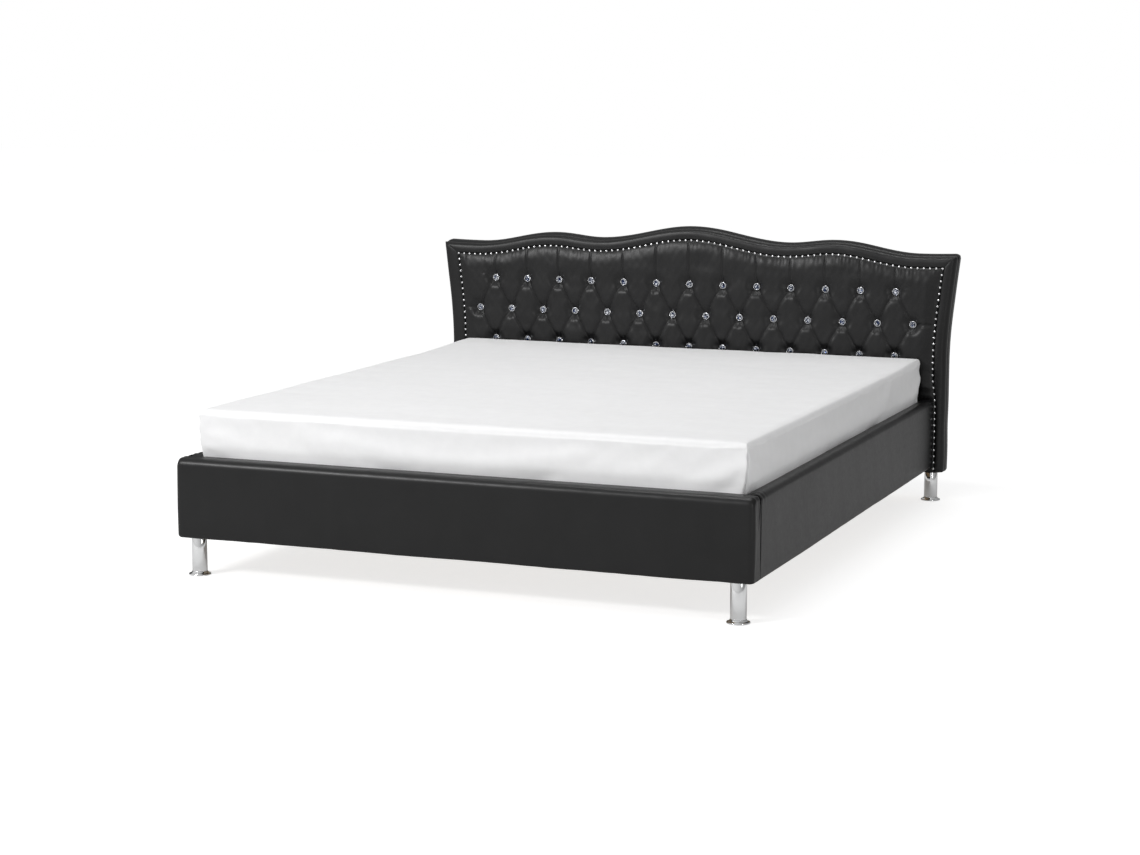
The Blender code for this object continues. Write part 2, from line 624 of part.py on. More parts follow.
# ---- Slats, beam and mattress -------------------------------------------------------------
def slat_roll(side, sign):
    """A roll of slats held at their spacing by two tapes stapled underneath."""
    outer, inner = RAIL_INNER - SLAT_END_CLEARANCE, SLAT_END_CLEARANCE / 2
    first = FOOTBOARD_BACK + 0.030 + SLAT_WIDTH / 2
    last = FACE - 0.030 - SLAT_WIDTH / 2
    step = (last - first) / (SLAT_COUNT - 1)
    mesh = bpy.data.meshes.new("slats")
    shape = bmesh.new()
    size = Matrix.Diagonal((outer - inner, SLAT_WIDTH, SLAT_THICKNESS, 1.0))
    for i in range(SLAT_COUNT):
        place = Matrix.Translation(
            (sign * (outer + inner) / 2, first + i * step, SLAT_TOP - SLAT_THICKNESS / 2))
        bmesh.ops.create_cube(shape, size=1.0, matrix=place @ size)
    shape.to_mesh(mesh)
    shape.free()
    roll = as_object("slat_roll_" + side, mesh, WOOD)
    lap = TAPE_THICKNESS / 4
    for number, share in enumerate((0.18, 0.82), 1):
        middle = sign * (inner + (outer - inner) * share)
        tape = guide(box(
            "tape_%s_%d" % (side, number),
            (middle - TAPE_WIDTH / 2, first - SLAT_WIDTH * 0.4, SLAT_BOTTOM - TAPE_THICKNESS),
            (middle + TAPE_WIDTH / 2, last + SLAT_WIDTH * 0.4, SLAT_BOTTOM + lap),
            collection=cutters))
        boolean(roll, tape, "UNION")


def beam_bracket(place, wall, inward):
    """A steel saddle screwed to the wall behind it, with the beam's end lying in it."""
    half, steel = BEAM_WIDTH / 2 + GAP, BRACKET_STEEL
    y0, y1 = sorted((wall + inward * GAP, wall + inward * (GAP + steel)))
    top = SUPPORT_TOP - 0.006
    floor = BEAM_BOTTOM - GAP - steel
    bracket = box("beam_bracket_" + place, (-BEAM_PLATE_WIDTH / 2, y0, floor),
                  (BEAM_PLATE_WIDTH / 2, y1, top), STEEL)
    overlap = steel / 2
    s0, s1 = sorted((wall + inward * (GAP + overlap), wall + inward * BEAM_BRACKET_DEPTH))
    section = [
        (-half - steel, floor), (half + steel, floor), (half + steel, top), (half, top),
        (half, floor + steel), (-half, floor + steel), (-half, top), (-half - steel, top),
    ]
    saddle = guide(prism("saddle_" + place, section, "y", s0, s1, collection=cutters))
    boolean(bracket, saddle, "UNION")


def centre_beam():
    clear = GAP + BRACKET_STEEL + GAP
    box("centre_beam", (-BEAM_WIDTH / 2, FOOTBOARD_BACK + clear, BEAM_BOTTOM),
        (BEAM_WIDTH / 2, FACE - clear, SUPPORT_TOP), WOOD)
    beam_bracket("front", FOOTBOARD_BACK, 1)
    beam_bracket("rear", FACE, -1)


def mattress():
    """Mattress core and the fitted sheet round it; both lift off together."""
    half = RAIL_INNER - MATTRESS_SIDE_GAP
    start = FOOTBOARD_BACK + MATTRESS_FOOT_GAP
    end = HEAD - MATTRESS_HEAD_GAP
    top = MATTRESS_BOTTOM + MATTRESS_HEIGHT

    def block(name, inset, low, high, finish, collection=None):
        made = box(name, (-half + inset, start + inset, low), (half - inset, end - inset, high),
                   finish, collection)
        corners = made.modifiers.new("corners", "BEVEL")
        corners.width = MATTRESS_CORNER - inset
        corners.segments = 4
        corners.limit_method = "ANGLE"
        corners.angle_limit = math.radians(50)
        return made

    inside = SHEET + GAP
    block("mattress", inside, MATTRESS_BOTTOM + inside, top - inside, TICKING)
    sheet = block("fitted_sheet", 0.0, MATTRESS_BOTTOM, top, LINEN)
    hollow = guide(block("sheet_hollow", SHEET, MATTRESS_BOTTOM + SHEET, top - SHEET, None,
                         cutters))
    mouth = guide(box("sheet_mouth", (-half + SHEET_HEM, start + SHEET_HEM, MATTRESS_BOTTOM - 0.01),
                      (half - SHEET_HEM, end - SHEET_HEM, MATTRESS_BOTTOM + 0.05),
                      collection=cutters))
    boolean(sheet, hollow)
    boolean(sheet, mouth)


# ---- Assembly -----------------------------------------------------------------------------
borders()
tufted_face()
bottom_rail = headboard_frame()
nail_strips()
button_rows()
core = footboard()
for side, sign in SIDES:
    rail_cover, rail_board = side_rail(side, sign)
    leg("front_" + side, (sign * FRONT_LEG_X, FRONT + FRONT_LEG_Y), FRAME_BOTTOM, core)
    leg("rear_" + side, (sign * REAR_LEG_X, HEAD + REAR_LEG_Y), HEADBOARD_BOTTOM, bottom_rail)
    corner_joint("front_" + side, sign, FOOTBOARD_BACK, 1, rail_cover, rail_board)
    corner_joint("rear_" + side, sign, FACE, -1, rail_cover, rail_board)
    slat_roll(side, sign)
for place, station in zip(("front", "rear"), CENTRE_LEG_STATIONS):
    centre_support(place, station)
centre_beam()
mattress()

root = bpy.data.objects.new("bed_root", None)
bed.objects.link(root)
for piece in bed.objects:
    if piece != root:
        piece.parent = root
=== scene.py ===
import math

import bmesh
import bpy
import numpy as np
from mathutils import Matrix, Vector

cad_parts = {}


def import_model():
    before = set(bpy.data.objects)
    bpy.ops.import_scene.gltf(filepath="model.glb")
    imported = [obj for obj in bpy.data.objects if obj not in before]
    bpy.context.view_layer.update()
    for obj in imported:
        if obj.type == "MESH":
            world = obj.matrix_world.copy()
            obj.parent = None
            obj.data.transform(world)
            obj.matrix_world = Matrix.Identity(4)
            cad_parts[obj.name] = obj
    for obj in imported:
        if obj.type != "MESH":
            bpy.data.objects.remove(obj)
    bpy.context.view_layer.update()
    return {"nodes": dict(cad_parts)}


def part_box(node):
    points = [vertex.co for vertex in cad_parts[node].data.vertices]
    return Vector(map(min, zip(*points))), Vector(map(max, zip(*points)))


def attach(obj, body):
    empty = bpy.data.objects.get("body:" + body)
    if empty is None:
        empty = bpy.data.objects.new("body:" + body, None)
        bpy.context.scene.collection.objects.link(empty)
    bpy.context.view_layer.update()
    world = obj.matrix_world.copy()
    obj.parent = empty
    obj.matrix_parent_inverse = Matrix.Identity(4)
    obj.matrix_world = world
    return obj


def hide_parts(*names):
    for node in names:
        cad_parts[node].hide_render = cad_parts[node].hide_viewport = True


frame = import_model()
scene = bpy.context.scene
nodes = frame["nodes"]

# ---- Dimensions shared with the solid model, in metres ----
FRAME_WIDTH = 1.886
FRONT = -1.117
FOOTBOARD_BACK = -1.050
HEAD = 1.030
HEAD_BACK = 1.117
FRAME_BOTTOM = 0.122
FRAME_TOP = 0.373
RAIL_OUTER = FRAME_WIDTH / 2
RAIL_INNER = 0.8965
HEADBOARD_BOTTOM = 0.105
HEADBOARD_HALF_WIDTH = 0.985
FLARE_START, FLARE_END, FLARE_SLOPE = 0.50, 0.70, 0.115
TURNS = ((0.0, 0.9775), (0.372, 0.9267), (0.555, 0.9413), (0.870, 0.9008))
TIP_RISE = 0.0022
HALF_PITCH = 0.0662
ROW_HEIGHTS = (0.7625, 0.6450, 0.5270, 0.4090)
ROW_COUNTS = (13, 14, 13, 14)
NAIL_TOP = 0.0495  # nail lines, in from the headboard's outline
NAIL_LEFT, NAIL_RIGHT, NAIL_LOW = 0.063, 0.047, 0.0365
NAIL_PITCH = 0.0229
SHEET_TOP = 0.5263
SHEET_BOTTOM = 0.3063
SHEET_HALF = 0.8945
SHEET_START, SHEET_END = -1.042, 1.002


# ---- Materials ----
def material(name, colour, roughness, metallic=0.0):
    """A plain material, for textures to be added to."""
    made = bpy.data.materials.new(name)
    made.use_nodes = True
    for key, value in (("Base Color", (*colour, 1)), ("Roughness", roughness),
                       ("Metallic", metallic)):
        shader_of(made).inputs[key].default_value = value
    made.diffuse_color = (*colour, 1)
    return made


def shader_of(made):
    return made.node_tree.nodes["Principled BSDF"]


def node(made, kind, **settings):
    """A new shader node, with its sockets and properties set by name."""
    new = made.node_tree.nodes.new(kind)
    for key, value in settings.items():
        if key in new.inputs:
            new.inputs[key].default_value = value
        else:
            setattr(new, key, value)
    return new


def place(made, stretch=(1, 1, 1)):
    """Object coordinates in metres, stretched along an axis for grain that runs one way."""
    where = node(made, "ShaderNodeTexCoord")
    mapping = node(made, "ShaderNodeMapping")
    mapping.inputs["Scale"].default_value = stretch
    made.node_tree.links.new(where.outputs["Object"], mapping.inputs["Vector"])
    return mapping.outputs["Vector"]


def texture(made, at, kind, **settings):
    """The values of a procedural texture that reads the given coordinates."""
    new = node(made, "ShaderNodeTex" + kind, **settings)
    made.node_tree.links.new(at, new.inputs["Vector"])
    return new.outputs["Distance" if kind == "Voronoi" else "Fac"]


def scaled(colour, by):
    """The colour made darker or lighter."""
    return [min(1, c * by) for c in colour]


def tone(made, source, low, high, socket, start=0.3, end=0.7):
    """Drives a shader socket between two values or colours from a texture's output."""
    link = made.node_tree.links.new
    ramp = node(made, "ShaderNodeValToRGB")
    ramp.color_ramp.elements[0].position = start
    ramp.color_ramp.elements[1].position = end
    for element, value in zip(ramp.color_ramp.elements, (low, high)):
        element.color = (*value, 1) if hasattr(value, "__len__") else (value, value, value, 1)
    link(source, ramp.inputs["Fac"])
    link(ramp.outputs["Color"], shader_of(made).inputs[socket])


def bump(made, heights):
    """Chains bumps: a list of (output, strength, distance in metres)."""
    link = made.node_tree.links.new
    below = None
    for source, strength, distance in heights:
        layer = node(made, "ShaderNodeBump", Strength=strength, Distance=distance)
        link(source, layer.inputs["Height"])
        if below:
            link(below.outputs["Normal"], layer.inputs["Normal"])
        below = layer
    link(below.outputs["Normal"], shader_of(made).inputs["Normal"])


def leather(name, colour, roughness):
    """Coated leather: pebbled grain, faint creasing, and slightly uneven sheen."""
    made = material(name, colour, roughness)
    at = place(made)
    pebble = texture(made, at, "Voronoi", Scale=620.0)
    crease = texture(made, at, "Noise", Scale=55.0, Detail=6.0, Roughness=0.62)
    cloudy = texture(made, at, "Noise", Scale=7.0, Detail=3.0)
    tone(made, cloudy, scaled(colour, 0.8), scaled(colour, 1.2), "Base Color")
    tone(made, crease, roughness - 0.02, roughness + 0.03, "Roughness")
    bump(made, [(pebble, 0.14, 0.0005), (crease, 0.05, 0.0008)])
    shader_of(made).inputs["Specular IOR Level"].default_value = 0.38
    return made


def weave(name, colour, scale, strength, roughness=0.9, mottle=0.06):
    """Plain woven cloth: crossing threads, a little slub, and soft sheen."""
    made = material(name, colour, roughness)
    at = place(made)
    layers = []
    for axis in "XYZ":
        threads = texture(made, at, "Wave", Scale=scale, Distortion=0.4, bands_direction=axis)
        layers.append((threads, strength, 0.0003))
    slub = texture(made, at, "Noise", Scale=30.0, Detail=5.0)
    layers.append((slub, strength, 0.0010))
    tone(made, slub, scaled(colour, 1 - mottle), scaled(colour, 1 + mottle / 2),
         "Base Color")
    bump(made, layers)
    shader_of(made).inputs["Sheen Weight"].default_value = 0.15
    return made


def timber(name, colour, along):
    """Planed softwood or plywood with the grain running along one axis."""
    made = material(name, colour, 0.6)
    stretch = [14.0, 14.0, 14.0]
    stretch["xyz".index(along)] = 1.1
    at = place(made, stretch)
    rings = texture(made, at, "Noise", Scale=2.2, Detail=8.0, Roughness=0.6, Distortion=1.2)
    fibre = texture(made, at, "Noise", Scale=22.0, Detail=4.0)
    tone(made, rings, scaled(colour, 0.72), scaled(colour, 1.12), "Base Color",
         0.38, 0.62)
    tone(made, fibre, 0.5, 0.72, "Roughness")
    bump(made, [(fibre, 0.2, 0.0006), (rings, 0.12, 0.0008)])
    return made


def metal(name, colour, roughness, smudge, metallic=1.0, flake=0.0):
    """Polished, plated or powder-coated metal with uneven polish."""
    made = material(name, colour, roughness, metallic)
    at = place(made)
    haze = texture(made, at, "Noise", Scale=38.0, Detail=5.0)
    tone(made, haze, roughness, roughness + smudge, "Roughness")
    tone(made, haze, scaled(colour, 0.94), colour, "Base Color")
    if flake:
        grit = texture(made, at, "Noise", Scale=900.0, Detail=2.0)
        bump(made, [(grit, flake, 0.0003)])
    return made


def sponge(name, colour):
    """Open-celled upholstery foam."""
    made = material(name, colour, 0.95)
    at = place(made)
    cells = texture(made, at, "Voronoi", Scale=480.0)
    patches = texture(made, at, "Noise", Scale=9.0, Detail=4.0)
    tone(made, patches, scaled(colour, 0.88), colour, "Base Color")
    bump(made, [(cells, 0.5, 0.0015)])
    return made


LEATHER = leather("black_leather", (0.0055, 0.0055, 0.0058), 0.37)
SHEETING = weave("white_sheet", (0.92, 0.92, 0.925), 1500.0, 0.12, mottle=0.02)
TICKING = weave("mattress_ticking", (0.82, 0.81, 0.77), 700.0, 0.35)
LINING = weave("dust_cloth", (0.022, 0.022, 0.024), 900.0, 0.5, 0.95)
FOAM = sponge("upholstery_foam", (0.78, 0.73, 0.58))
PINE_X = timber("pine_crossways", (0.66, 0.47, 0.27), "x")
PINE_Y = timber("pine_lengthways", (0.64, 0.46, 0.27), "y")
PINE_Z = timber("pine_upright", (0.63, 0.45, 0.26), "z")
PLYWOOD = timber("plywood", (0.60, 0.45, 0.29), "x")
CHROME = metal("chrome", (0.94, 0.945, 0.95), 0.05, 0.05)
SILVER = metal("nail_silver", (0.82, 0.82, 0.83), 0.16, 0.10)
BLACK_STEEL = metal("black_powder_coat", (0.022, 0.022, 0.024), 0.42, 0.12, 0.0, 0.35)
ZINC = metal("zinc_plate", (0.58, 0.60, 0.62), 0.30, 0.15, 1.0, 0.1)
CRYSTAL_PALE = metal("crystal_pale", (0.84, 0.87, 0.93), 0.04, 0.03)
# The crystals' navy and dark facet finishes are painted reflections: the dark glints of a clear cut
# crystal, set as colour.
CRYSTAL_NAVY_REFLECTION = metal("crystal_painted_navy_reflection", (0.045, 0.070, 0.165), 0.05, 0.03)
CRYSTAL_DARK_REFLECTION = metal("crystal_painted_dark_reflection", (0.010, 0.012, 0.022), 0.06, 0.03)


# ---- Mesh helpers ----
def piece(name, verts, faces, finish, body="frame", smooth=True, stands_for=(), slot=None,
          fill=None):
    """One object riding on a body in place of CAD nodes; fill, given for padded pieces, is not
    used.
    """
    mesh = bpy.data.meshes.new(name)
    mesh.from_pydata([tuple(v) for v in verts], [], [tuple(f) for f in faces])
    for each in finish if isinstance(finish, (list, tuple)) else [finish]:
        mesh.materials.append(each)
    mesh.polygons.foreach_set("use_smooth", [smooth] * len(mesh.polygons))
    mesh.update()
    made = bpy.data.objects.new(name, mesh)
    scene.collection.objects.link(made)
    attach(made, body)
    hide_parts(*stands_for)
    return made


def strips(count_rows, count_columns, around):
    """Quads of a grid of vertices numbered row by row; around joins last column to first."""
    index = np.arange(count_rows * count_columns).reshape(count_rows, count_columns)
    here = index if around else index[:, :-1]
    beside = np.roll(index, -1, axis=1) if around else index[:, 1:]
    return np.stack([here[:-1], beside[:-1], beside[1:], here[1:]], -1).reshape(-1, 4)


def swept(name, rows, finish, bulge=0.0, **how):
    """A closed solid through a list of section loops, with its ends capped in rings."""
    rows = np.asarray(rows, float)
    count, around = rows.shape[:2]
    verts = list(rows.reshape(-1, 3))
    faces = [list(f) for f in strips(count, around, True)]
    for loop, ring, flip in ((rows[0], 0, True), (rows[-1], (count - 1) * around, False)):
        centre = loop.mean(axis=0)
        beyond = loop.mean(axis=0) - rows[1 if flip else -2].mean(axis=0)
        beyond = beyond / max(np.linalg.norm(beyond), 1e-9)
        last = list(range(ring, ring + around))
        for share in (0.82, 0.55, 0.25):
            inner = centre + (loop - centre) * share + beyond * bulge * (1 - share ** 2)
            start = len(verts)
            verts += list(inner)
            fresh = list(range(start, start + around))
            for i in range(around):
                j = (i + 1) % around
                quad = [last[i], last[j], fresh[j], fresh[i]]
                faces.append(quad[::-1] if flip else quad)
            last = fresh
        faces.append(last[::-1] if flip else last)
    return piece(name, verts, faces, finish, **how)


def turned(name, profile, centre, finish, segments=56, **how):
    """A lathe-turned solid: profile is (radius, height) from top to bottom or bottom to top."""
    angles = np.linspace(0, 2 * math.pi, segments, endpoint=False)
    rows = [
        [(centre[0] + r * math.cos(t), centre[1] + r * math.sin(t), z) for t in angles]
        for r, z in profile
    ]
    verts = np.asarray(rows, float).reshape(-1, 3)
    faces = [list(f) for f in strips(len(rows), segments, True)]
    faces += [list(range(segments))[::-1]]
    faces += [list(range((len(rows) - 1) * segments, len(rows) * segments))]
    return piece(name, verts, faces, finish, **how)


def unevenness(points, wavelength, seed):
    """Smooth unevenness, mostly between -1 and 1, with swellings about this far apart."""
    dice = np.random.default_rng(seed)
    total = np.zeros(len(points))
    for _ in range(9):
        direction = dice.normal(size=3)
        direction /= np.linalg.norm(direction)
        pace = 2 * math.pi / (wavelength * dice.uniform(0.7, 1.6))
        total += np.sin(points @ direction * pace + dice.uniform(0, 2 * math.pi))
    return total / 3.2


def steps(full):
    return full


def ease(t):
    """Smooth step from 0 to 1."""
    t = np.clip(t, 0, 1)
    return t * t * (3 - 2 * t)


def crest(t):
    """Quarter sine from 0 to 1."""
    return np.sin(math.pi / 2 * np.clip(t, 0, 1))


def swelling(t):
    """Quarter-round rise: steep at 0, level from 1 on."""
    return np.sqrt(1 - (1 - np.clip(t, 0, 1)) ** 2)


# ---- Headboard outline ----
def top_height(x):
    """Height of the serpentine top: half cosine waves between the turning points."""
    x = np.abs(np.asarray(x, float))
    height = TURNS[-1][1] + TIP_RISE * ((x - TURNS[-1][0]) / 0.12) ** 2
    for (x0, z0), (x1, z1) in list(zip(TURNS, TURNS[1:]))[::-1]:
        wave = z0 + (z1 - z0) * (1 - np.cos(math.pi * (x - x0) / (x1 - x0))) / 2
        height = np.where(x <= x1, wave, height)
    return height


def side_reach(z):
    """Half width at a height: upright, then leaning outwards."""
    z = np.asarray(z, float)
    bend = FLARE_END - FLARE_START
    curved = FLARE_SLOPE / (2 * bend) * np.clip(z - FLARE_START, 0, bend) ** 2
    return HEADBOARD_HALF_WIDTH + curved + FLARE_SLOPE * np.clip(z - FLARE_END, 0, None)


def top_inset(x, inset):
    """Height of the line that runs this far inside the top."""
    slope = (top_height(np.abs(x) + 0.001) - top_height(np.abs(x) - 0.001)) / 0.002
    return top_height(x) - inset * np.hypot(1, slope)


def side_inset(z, inset):
    """Half width of the line that runs this far inside a side."""
    slope = (side_reach(z + 0.001) - side_reach(z - 0.001)) / 0.002
    return side_reach(z) - inset * np.hypot(1, slope)


def nail_inset(z, side):
    """How far in the side nail lines run; low down they clear the rails."""
    upper = np.where(np.asarray(side) > 0, NAIL_RIGHT, NAIL_LEFT)
    return upper + (NAIL_LOW - upper) * ease((0.47 - z) / 0.12)


def meeting(from_top, from_side):
    """Where the inset top and the inset side cross."""
    x, z = np.full(np.shape(from_top), HEADBOARD_HALF_WIDTH), np.full(np.shape(from_top), 0.9)
    for _ in range(14):
        z = top_inset(x, from_top)
        x = side_inset(z, from_side)
    return x, z


# ---- Tufted panel ----
PILLOW = 0.0265  # how far the pillows stand in front of the buttons
SEAT = 1.0465  # plane of the leather under the buttons
LAST_CELL = 13  # number of the outermost button column
DIAGONAL_FOLD = (0.82, 0.017)  # folds: share of the height kept, reach to each side
UPRIGHT_FOLD = (0.93, 0.008)
LEVEL_FOLD = (0.84, 0.016)
CREASE_REACH = 0.0070
CRATER_FLOOR, CRATER_START, CRATER_REACH = 0.36, 0.0110, 0.036
NOTCH_DEPTH, NOTCH_REACH = 0.0034, 0.0018
PANEL_STEP = 0.0022  # leather in front of the border's seam at the nails
TUCK = 0.0035  # how far the leather runs on under the border
GATHER_PITCH, GATHER_DEPTH, GATHER_REACH = 0.0150, 0.0009, 0.016
PLEAT_ARCH = 0.06 * 0.1178  # rise of the pleats between two buttons
RAIL_MEETS_X, RAIL_MEETS_Z = 0.868, 0.400  # the rails' ends press the panel beyond these


def button_places():
    """The buttons' places, row by row from the top."""
    return [[((2 * i - count + 1) * HALF_PITCH, height) for i in range(count)]
            for count, height in zip(ROW_COUNTS, ROW_HEIGHTS)]


def pleat_lines():
    """Folds of the tufting as (x0, z0, x1, z1, height kept, reach)."""
    rows = button_places()
    lines = []
    for upper, lower in zip(rows, rows[1:]):
        for x0, z0 in upper:
            for x1, z1 in lower:
                if abs(abs(x1 - x0) - HALF_PITCH) < 1e-6:
                    lines.append((x0, z0, x1, z1, *DIAGONAL_FOLD))
    for x, z in rows[0]:
        lines.append((x, z, x, float(top_inset(x, NAIL_TOP)), *UPRIGHT_FOLD))
    for x, z in rows[-1]:
        lines.append((x, z, x, HEADBOARD_BOTTOM, *UPRIGHT_FOLD))
    for row in (rows[1], rows[3]):
        for sign in (-1, 1):
            x, z = max(row) if sign > 0 else min(row)
            edge = float(side_inset(z, nail_inset(z, sign)))
            lines.append((x, z, sign * edge, z, *LEVEL_FOLD))
    return lines


def small_folds():
    """Short creases that fan out from the buttons, and the gathers at the outer corners."""
    dice = np.random.default_rng(11)
    lines = []
    for row in button_places():
        for x, z in row:
            for angle in (-118, -92, -64):
                turn = math.radians(angle + dice.uniform(-9, 9))
                reach = dice.uniform(0.022, 0.036)
                lines.append((x, z, x + reach * math.cos(turn), z + reach * math.sin(turn),
                              dice.uniform(0.90, 0.96), CREASE_REACH))
    x, z = max(button_places()[0])
    for sign in (-1, 1):
        for angle, reach in ((63, 0.040), (40, 0.045), (17, 0.050), (-8, 0.040)):
            turn = math.radians(angle)
            lines.append((sign * x, z, sign * (x + reach * math.cos(turn)),
                          z + reach * math.sin(turn), 0.96, CREASE_REACH))
    return lines


def distance_to(x, z, line):
    """Distance of each point from a fold's stretch."""
    x0, z0, x1, z1 = line[:4]
    dx, dz = x1 - x0, z1 - z0
    t = np.clip(((x - x0) * dx + (z - z0) * dz) / (dx * dx + dz * dz), 0, 1)
    return np.hypot(x - x0 - t * dx, z - z0 - t * dz)


def panel_grid(per_cell, side_cells, top_cells, low_cells):
    """Grid of the panel whose lines run through the buttons: cell numbers, x and z."""
    middle = np.linspace(-LAST_CELL, LAST_CELL, 2 * LAST_CELL * per_cell + 1)
    edge = LAST_CELL + np.linspace(0, 1, side_cells + 1)[1:]
    across = np.concatenate([-edge[::-1], middle, edge])
    up = np.concatenate([
        np.linspace(-4, -3, low_cells + 1)[:-1], np.linspace(-3, 0, 3 * per_cell + 1),
        np.linspace(0, 1, top_cells + 1)[1:]])
    a, b = np.meshgrid(across, up)
    z = np.full(a.shape, 0.6)
    for _ in range(6):
        last = LAST_CELL * HALF_PITCH
        edge = side_inset(z, nail_inset(z, a) - TUCK)
        x = np.where(np.abs(a) <= LAST_CELL, a * HALF_PITCH,
                     np.sign(a) * (last + (edge - last) * (np.abs(a) - LAST_CELL)))
        between = np.interp(b, (-3, -2, -1, 0), ROW_HEIGHTS[::-1])
        edge = top_inset(x, NAIL_TOP - TUCK)
        top = ROW_HEIGHTS[0] + (edge - ROW_HEIGHTS[0]) * np.clip(b, 0, 1)
        low = ROW_HEIGHTS[3] + (ROW_HEIGHTS[3] - HEADBOARD_BOTTOM) * np.clip(b + 3, -1, 0)
        z = np.where(b > 0, top, np.where(b < -3, low, between))
    return a, b, x, z


def panel_depth(x, z):
    """How far the leather stands in front of its seat plane at each point."""
    height = np.ones(x.shape)
    notch = np.zeros(x.shape)
    for line in pleat_lines():
        away = distance_to(x, z, line)
        height *= line[4] + (1 - line[4]) * swelling(away / line[5])
        notch = np.maximum(notch, np.exp(-away / NOTCH_REACH))
    for line in small_folds():
        height *= line[4] + (1 - line[4]) * ease(distance_to(x, z, line) / line[5])
    radius = np.full(x.shape, 9.0)
    turn = np.zeros(x.shape)
    for row in button_places():
        for bx, bz in row:
            away = np.hypot(x - bx, z - bz)
            closer = away < radius
            radius = np.where(closer, away, radius)
            turn = np.where(closer, np.arctan2(z - bz, x - bx) + bx * 17, turn)
    height *= CRATER_FLOOR + (1 - CRATER_FLOOR) * crest((radius - CRATER_START) / CRATER_REACH)
    depth = PILLOW * height - NOTCH_DEPTH * notch * ease(radius / 0.03)
    from_top = (top_inset(x, NAIL_TOP) - z) * 0.99
    from_side = side_inset(z, nail_inset(z, x)) - np.abs(x)
    inside = (0.25 * swelling(from_top / 0.02) + 0.75 * crest(from_top / 0.050)) * (
        0.30 * swelling(from_side / 0.02) + 0.70 * crest(from_side / 0.055))
    at_edge = SEAT - HEAD - PANEL_STEP
    depth = at_edge + (depth - at_edge) * inside
    nearest = np.minimum(from_top, from_side)
    depth = np.where(nearest < 0, at_edge + nearest * 1.2, depth)
    along = np.where(from_top < from_side, x, z)
    beat = np.sin(along * 2 * math.pi / GATHER_PITCH + 2.2 * np.sin(along * 31)
                  + np.sin(along * 87))
    size = 0.6 + 0.4 * np.sin(along * 53 + 1.0)
    fade = np.exp(-np.clip(nearest, 0, 1) / GATHER_REACH) * ease((nearest - 0.003) / 0.009)
    depth += GATHER_DEPTH * beat * size * fade
    depth += 0.0005 * np.cos(turn * 9) * np.exp(-((radius - 0.017) / 0.011) ** 2)
    points = np.stack([x, z * 0.8, x * 0], -1).reshape(-1, 3)
    depth += 0.0007 * unevenness(points, 0.075, 3).reshape(x.shape)
    depth += 0.00035 * unevenness(points, 0.026, 4).reshape(x.shape)
    pressed = ease((np.abs(x) - RAIL_MEETS_X) / 0.02) * ease((RAIL_MEETS_Z - z) / 0.02)
    free = 2 * PILLOW  # deeper than any pillow
    return np.minimum(depth, free + (SEAT - HEAD - 0.0008 - free) * pressed)


def bowed(a, b):
    """How much the pleats arch upwards between button columns."""
    fade = np.where(b > 0, np.clip(1 - b, 0, 1) ** 2, np.clip(b + 4, 0, 1))
    return np.where(np.abs(a) < LAST_CELL, PLEAT_ARCH * np.sin(math.pi * a) ** 2, 0) * fade


def tufted_panel():
    """The tufted leather: a grid split along the folds, so that they stay crisp."""
    fine = steps(20)
    a, b, x, z = panel_grid(fine, fine + fine // 2, fine + fine // 3, fine)
    y = SEAT - panel_depth(x, z)
    z = z + bowed(a, b)
    rows, columns = x.shape
    index = np.arange(rows * columns).reshape(rows, columns)
    c00, c01 = index[:-1, :-1], index[:-1, 1:]
    c10, c11 = index[1:, :-1], index[1:, 1:]
    cell = np.floor((a[:-1, :-1] + a[:-1, 1:]) / 2) + np.floor((b[:-1, :-1] + b[1:, :-1]) / 2)
    rising = (cell.astype(int) % 2 == 1)[..., None]
    first = np.where(rising, np.stack([c00, c01, c11], -1), np.stack([c00, c01, c10], -1))
    second = np.where(rising, np.stack([c00, c11, c10], -1), np.stack([c01, c11, c10], -1))
    faces = np.concatenate([first.reshape(-1, 3), second.reshape(-1, 3)])
    verts = np.stack([x, y, z], -1).reshape(-1, 3)
    piece("tufted_leather", verts, faces, LEATHER, stands_for=["tufted_cover"],
          slot="black_leather", fill=0.75)


PAD_BOTTOM, PAD_BACK, PAD_BEHIND = 0.168, 1.0615, 0.0100  # foam under the tufted leather


def tufting_pad():
    """The foam behind the tufted leather, dented at the buttons and pleats."""
    x, z = panel_grid(6, 8, 8, 4)[2:]
    keep = z[:, 0] > PAD_BOTTOM - 0.008
    keep[np.argmax(keep) - 1] = False
    x, z = x[keep], np.maximum(z[keep], PAD_BOTTOM)
    front = np.minimum(SEAT - panel_depth(x, z) + PAD_BEHIND, PAD_BACK - 0.0015)
    back = np.full(x.shape, PAD_BACK)
    rows, columns = x.shape
    faces = [list(f) for f in strips(rows, columns, False)]
    count = rows * columns
    faces += [[i + count for i in f][::-1] for f in strips(rows, columns, False)]
    index = np.arange(count).reshape(rows, columns)
    rim = np.concatenate([index[0], index[1:, -1], index[-1, :-1][::-1], index[1:-1, 0][::-1]])
    for i, j in zip(rim, np.roll(rim, -1)):
        faces.append([j, i, i + count, j + count])
    verts = np.concatenate([np.stack([x, front, z], -1).reshape(-1, 3),
                            np.stack([x, back, z], -1).reshape(-1, 3)])
    piece("tufting_foam_pad", verts, faces, FOAM, stands_for=["tufting_foam"], slot="foam",
          fill=0.8)


